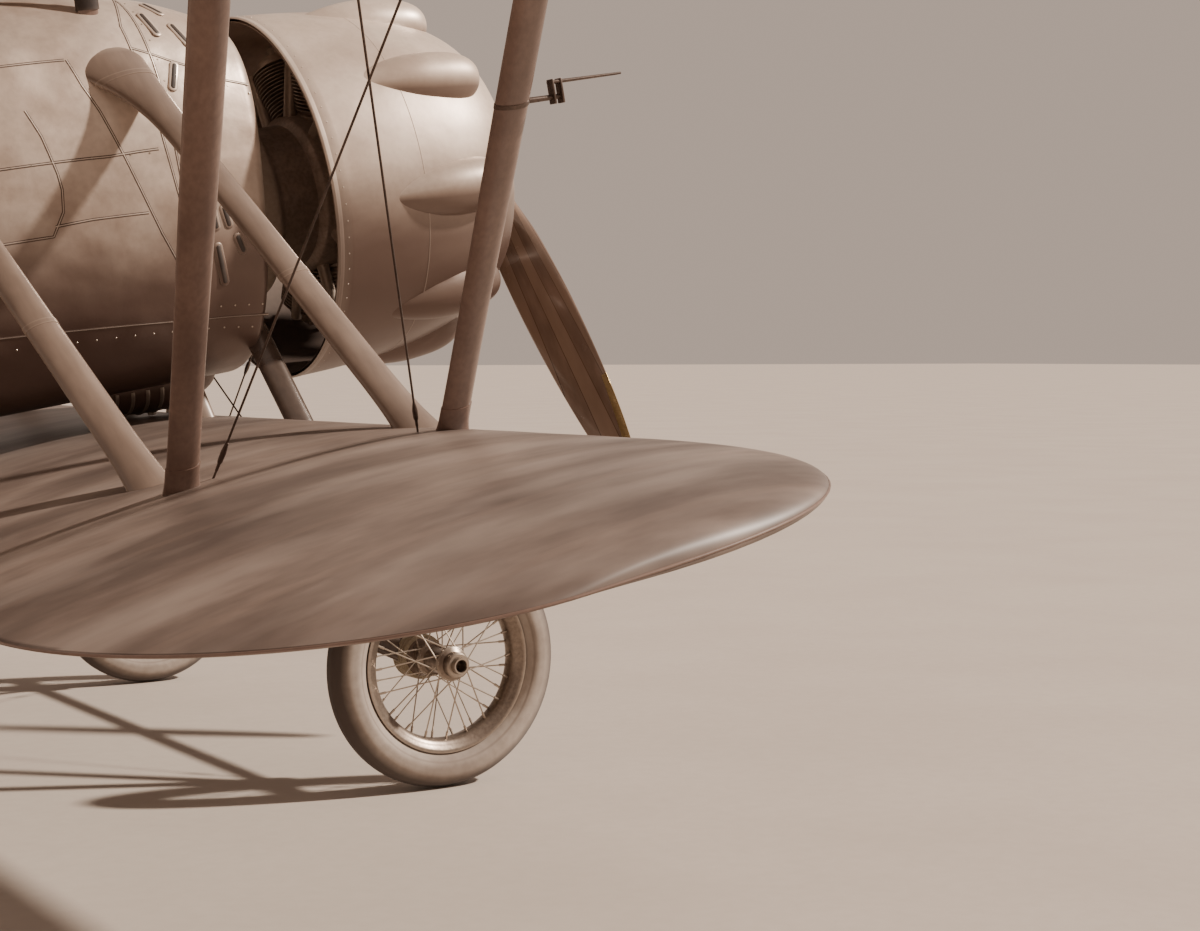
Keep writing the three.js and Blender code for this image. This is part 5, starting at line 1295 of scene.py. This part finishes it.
bm = bmesh.new()
makeSkin(bm, 48, len(heights), rudderAt)
for way in (-1, 1):
    makeBar(bm, (post["x"] - 0.03, way * 0.012, 0.05), (post["x"] - 0.03, way * 0.12, 0.05), 0.011, 0.006, 12)
asPiece("rudder", bm, "rudder", "wingSkin", ("rudder",), sharp=50)
bm = bmesh.new()
makeBlock(bm, (-4.693, 0, -0.177), (0.126, 0.032, 0.023), 0.004)
asPiece("rudder_lug", bm, "airframe", "steel")
for label, side in sides:
    bm = bmesh.new()
    low, high = sidePoint(-4.22, -0.02, -0.15, side), sidePoint(-4.27, -0.78, tail["plane"], side)
    makeStrut(bm, low, high, evenBar(0.046, 0.022))
    asPiece(f"tailplane_strut_{label}", bm, "airframe", "darkWood", (f"tailplane_strut_{label}",))

# Tail skid with a round steel shoe
skid = {"root": (-4.33, 0, -0.175), "x": -4.8, "radius": 0.024, "half": 0.04}
ringHeight = wheel["radius"] - ax * math.sin(pitch) - az * math.cos(pitch)
skidZ = (skid["radius"] - ringHeight - skid["x"] * math.sin(pitch)) / math.cos(pitch)
skidRows = [(0, 0.12, 0.056, 0), (0.5, 0.09, 0.05, 0), (1, 0.04, 0.044, 0)]
bm = bmesh.new()
makeStrut(bm, skid["root"], (skid["x"], 0, skidZ), skidRows)
asPiece("tail_skid", bm, "airframe", "darkWood", ("tail_skid",))
bm = bmesh.new()
turnProfile(bm, [(0, -0.04), (0.021, -0.04), (0.024, -0.037), (0.024, 0.037), (0.021, 0.04), (0, 0.04)], 32,
            [facing((skid["x"], 0, skidZ), (0, 1, 0))])
makeStrut(bm, skid["root"], (skid["x"], 0, skidZ), skidRows, 0.78, 0.98, 0.002, step=0.05)
asPiece("skid_shoe", bm, "airframe", "steel")
print("tail is made")

# Pitot head on the right front interplane strut
pitot = {"share": 0.455, "arm": 0.122, "rear": 0.096, "front": 0.27, "above": 0.03}
low, high = wingPoint(lowerWing, strutFoot, spars["front"]), wingPoint(upperWing, strutTop, spars["front"])
spot = Vector((lerp(low.x, high.x, pitot["share"]), -lerp(strutFoot + 0.012, strutTop, pitot["share"]), lerp(low.z, high.z, pitot["share"])))
bm = bmesh.new()
makeBar(bm, spot + Vector((0.036, 0, 0)), spot + Vector((pitot["arm"], 0, 0)), 0.0062, 0.0052, 12)
for ahead in (pitot["rear"] + 0.003, pitot["arm"] - 0.003):
    makeBlock(bm, spot + Vector((ahead, 0, 0.011)), (0.005, 0.022, 0.05), 0.0015)
for across in (-0.006, 0.006):
    makeBar(bm, spot + Vector((pitot["rear"], across, pitot["above"])), spot + Vector((pitot["front"], across, pitot["above"])), 0.004, 0.0025, 12)
low, high = sidePoint(low.x, -strutFoot - 0.012, low.z, 1), sidePoint(high.x, -strutTop, high.z, 1)
makeStrut(bm, low, high, straightRows, pitot["share"] - 0.0025, pitot["share"] + 0.0025, 0.0015, step=0.0025)
asPiece("pitot_head", bm, "airframe", "wireSteel", ("pitot_head",))
print("pitot head is made")
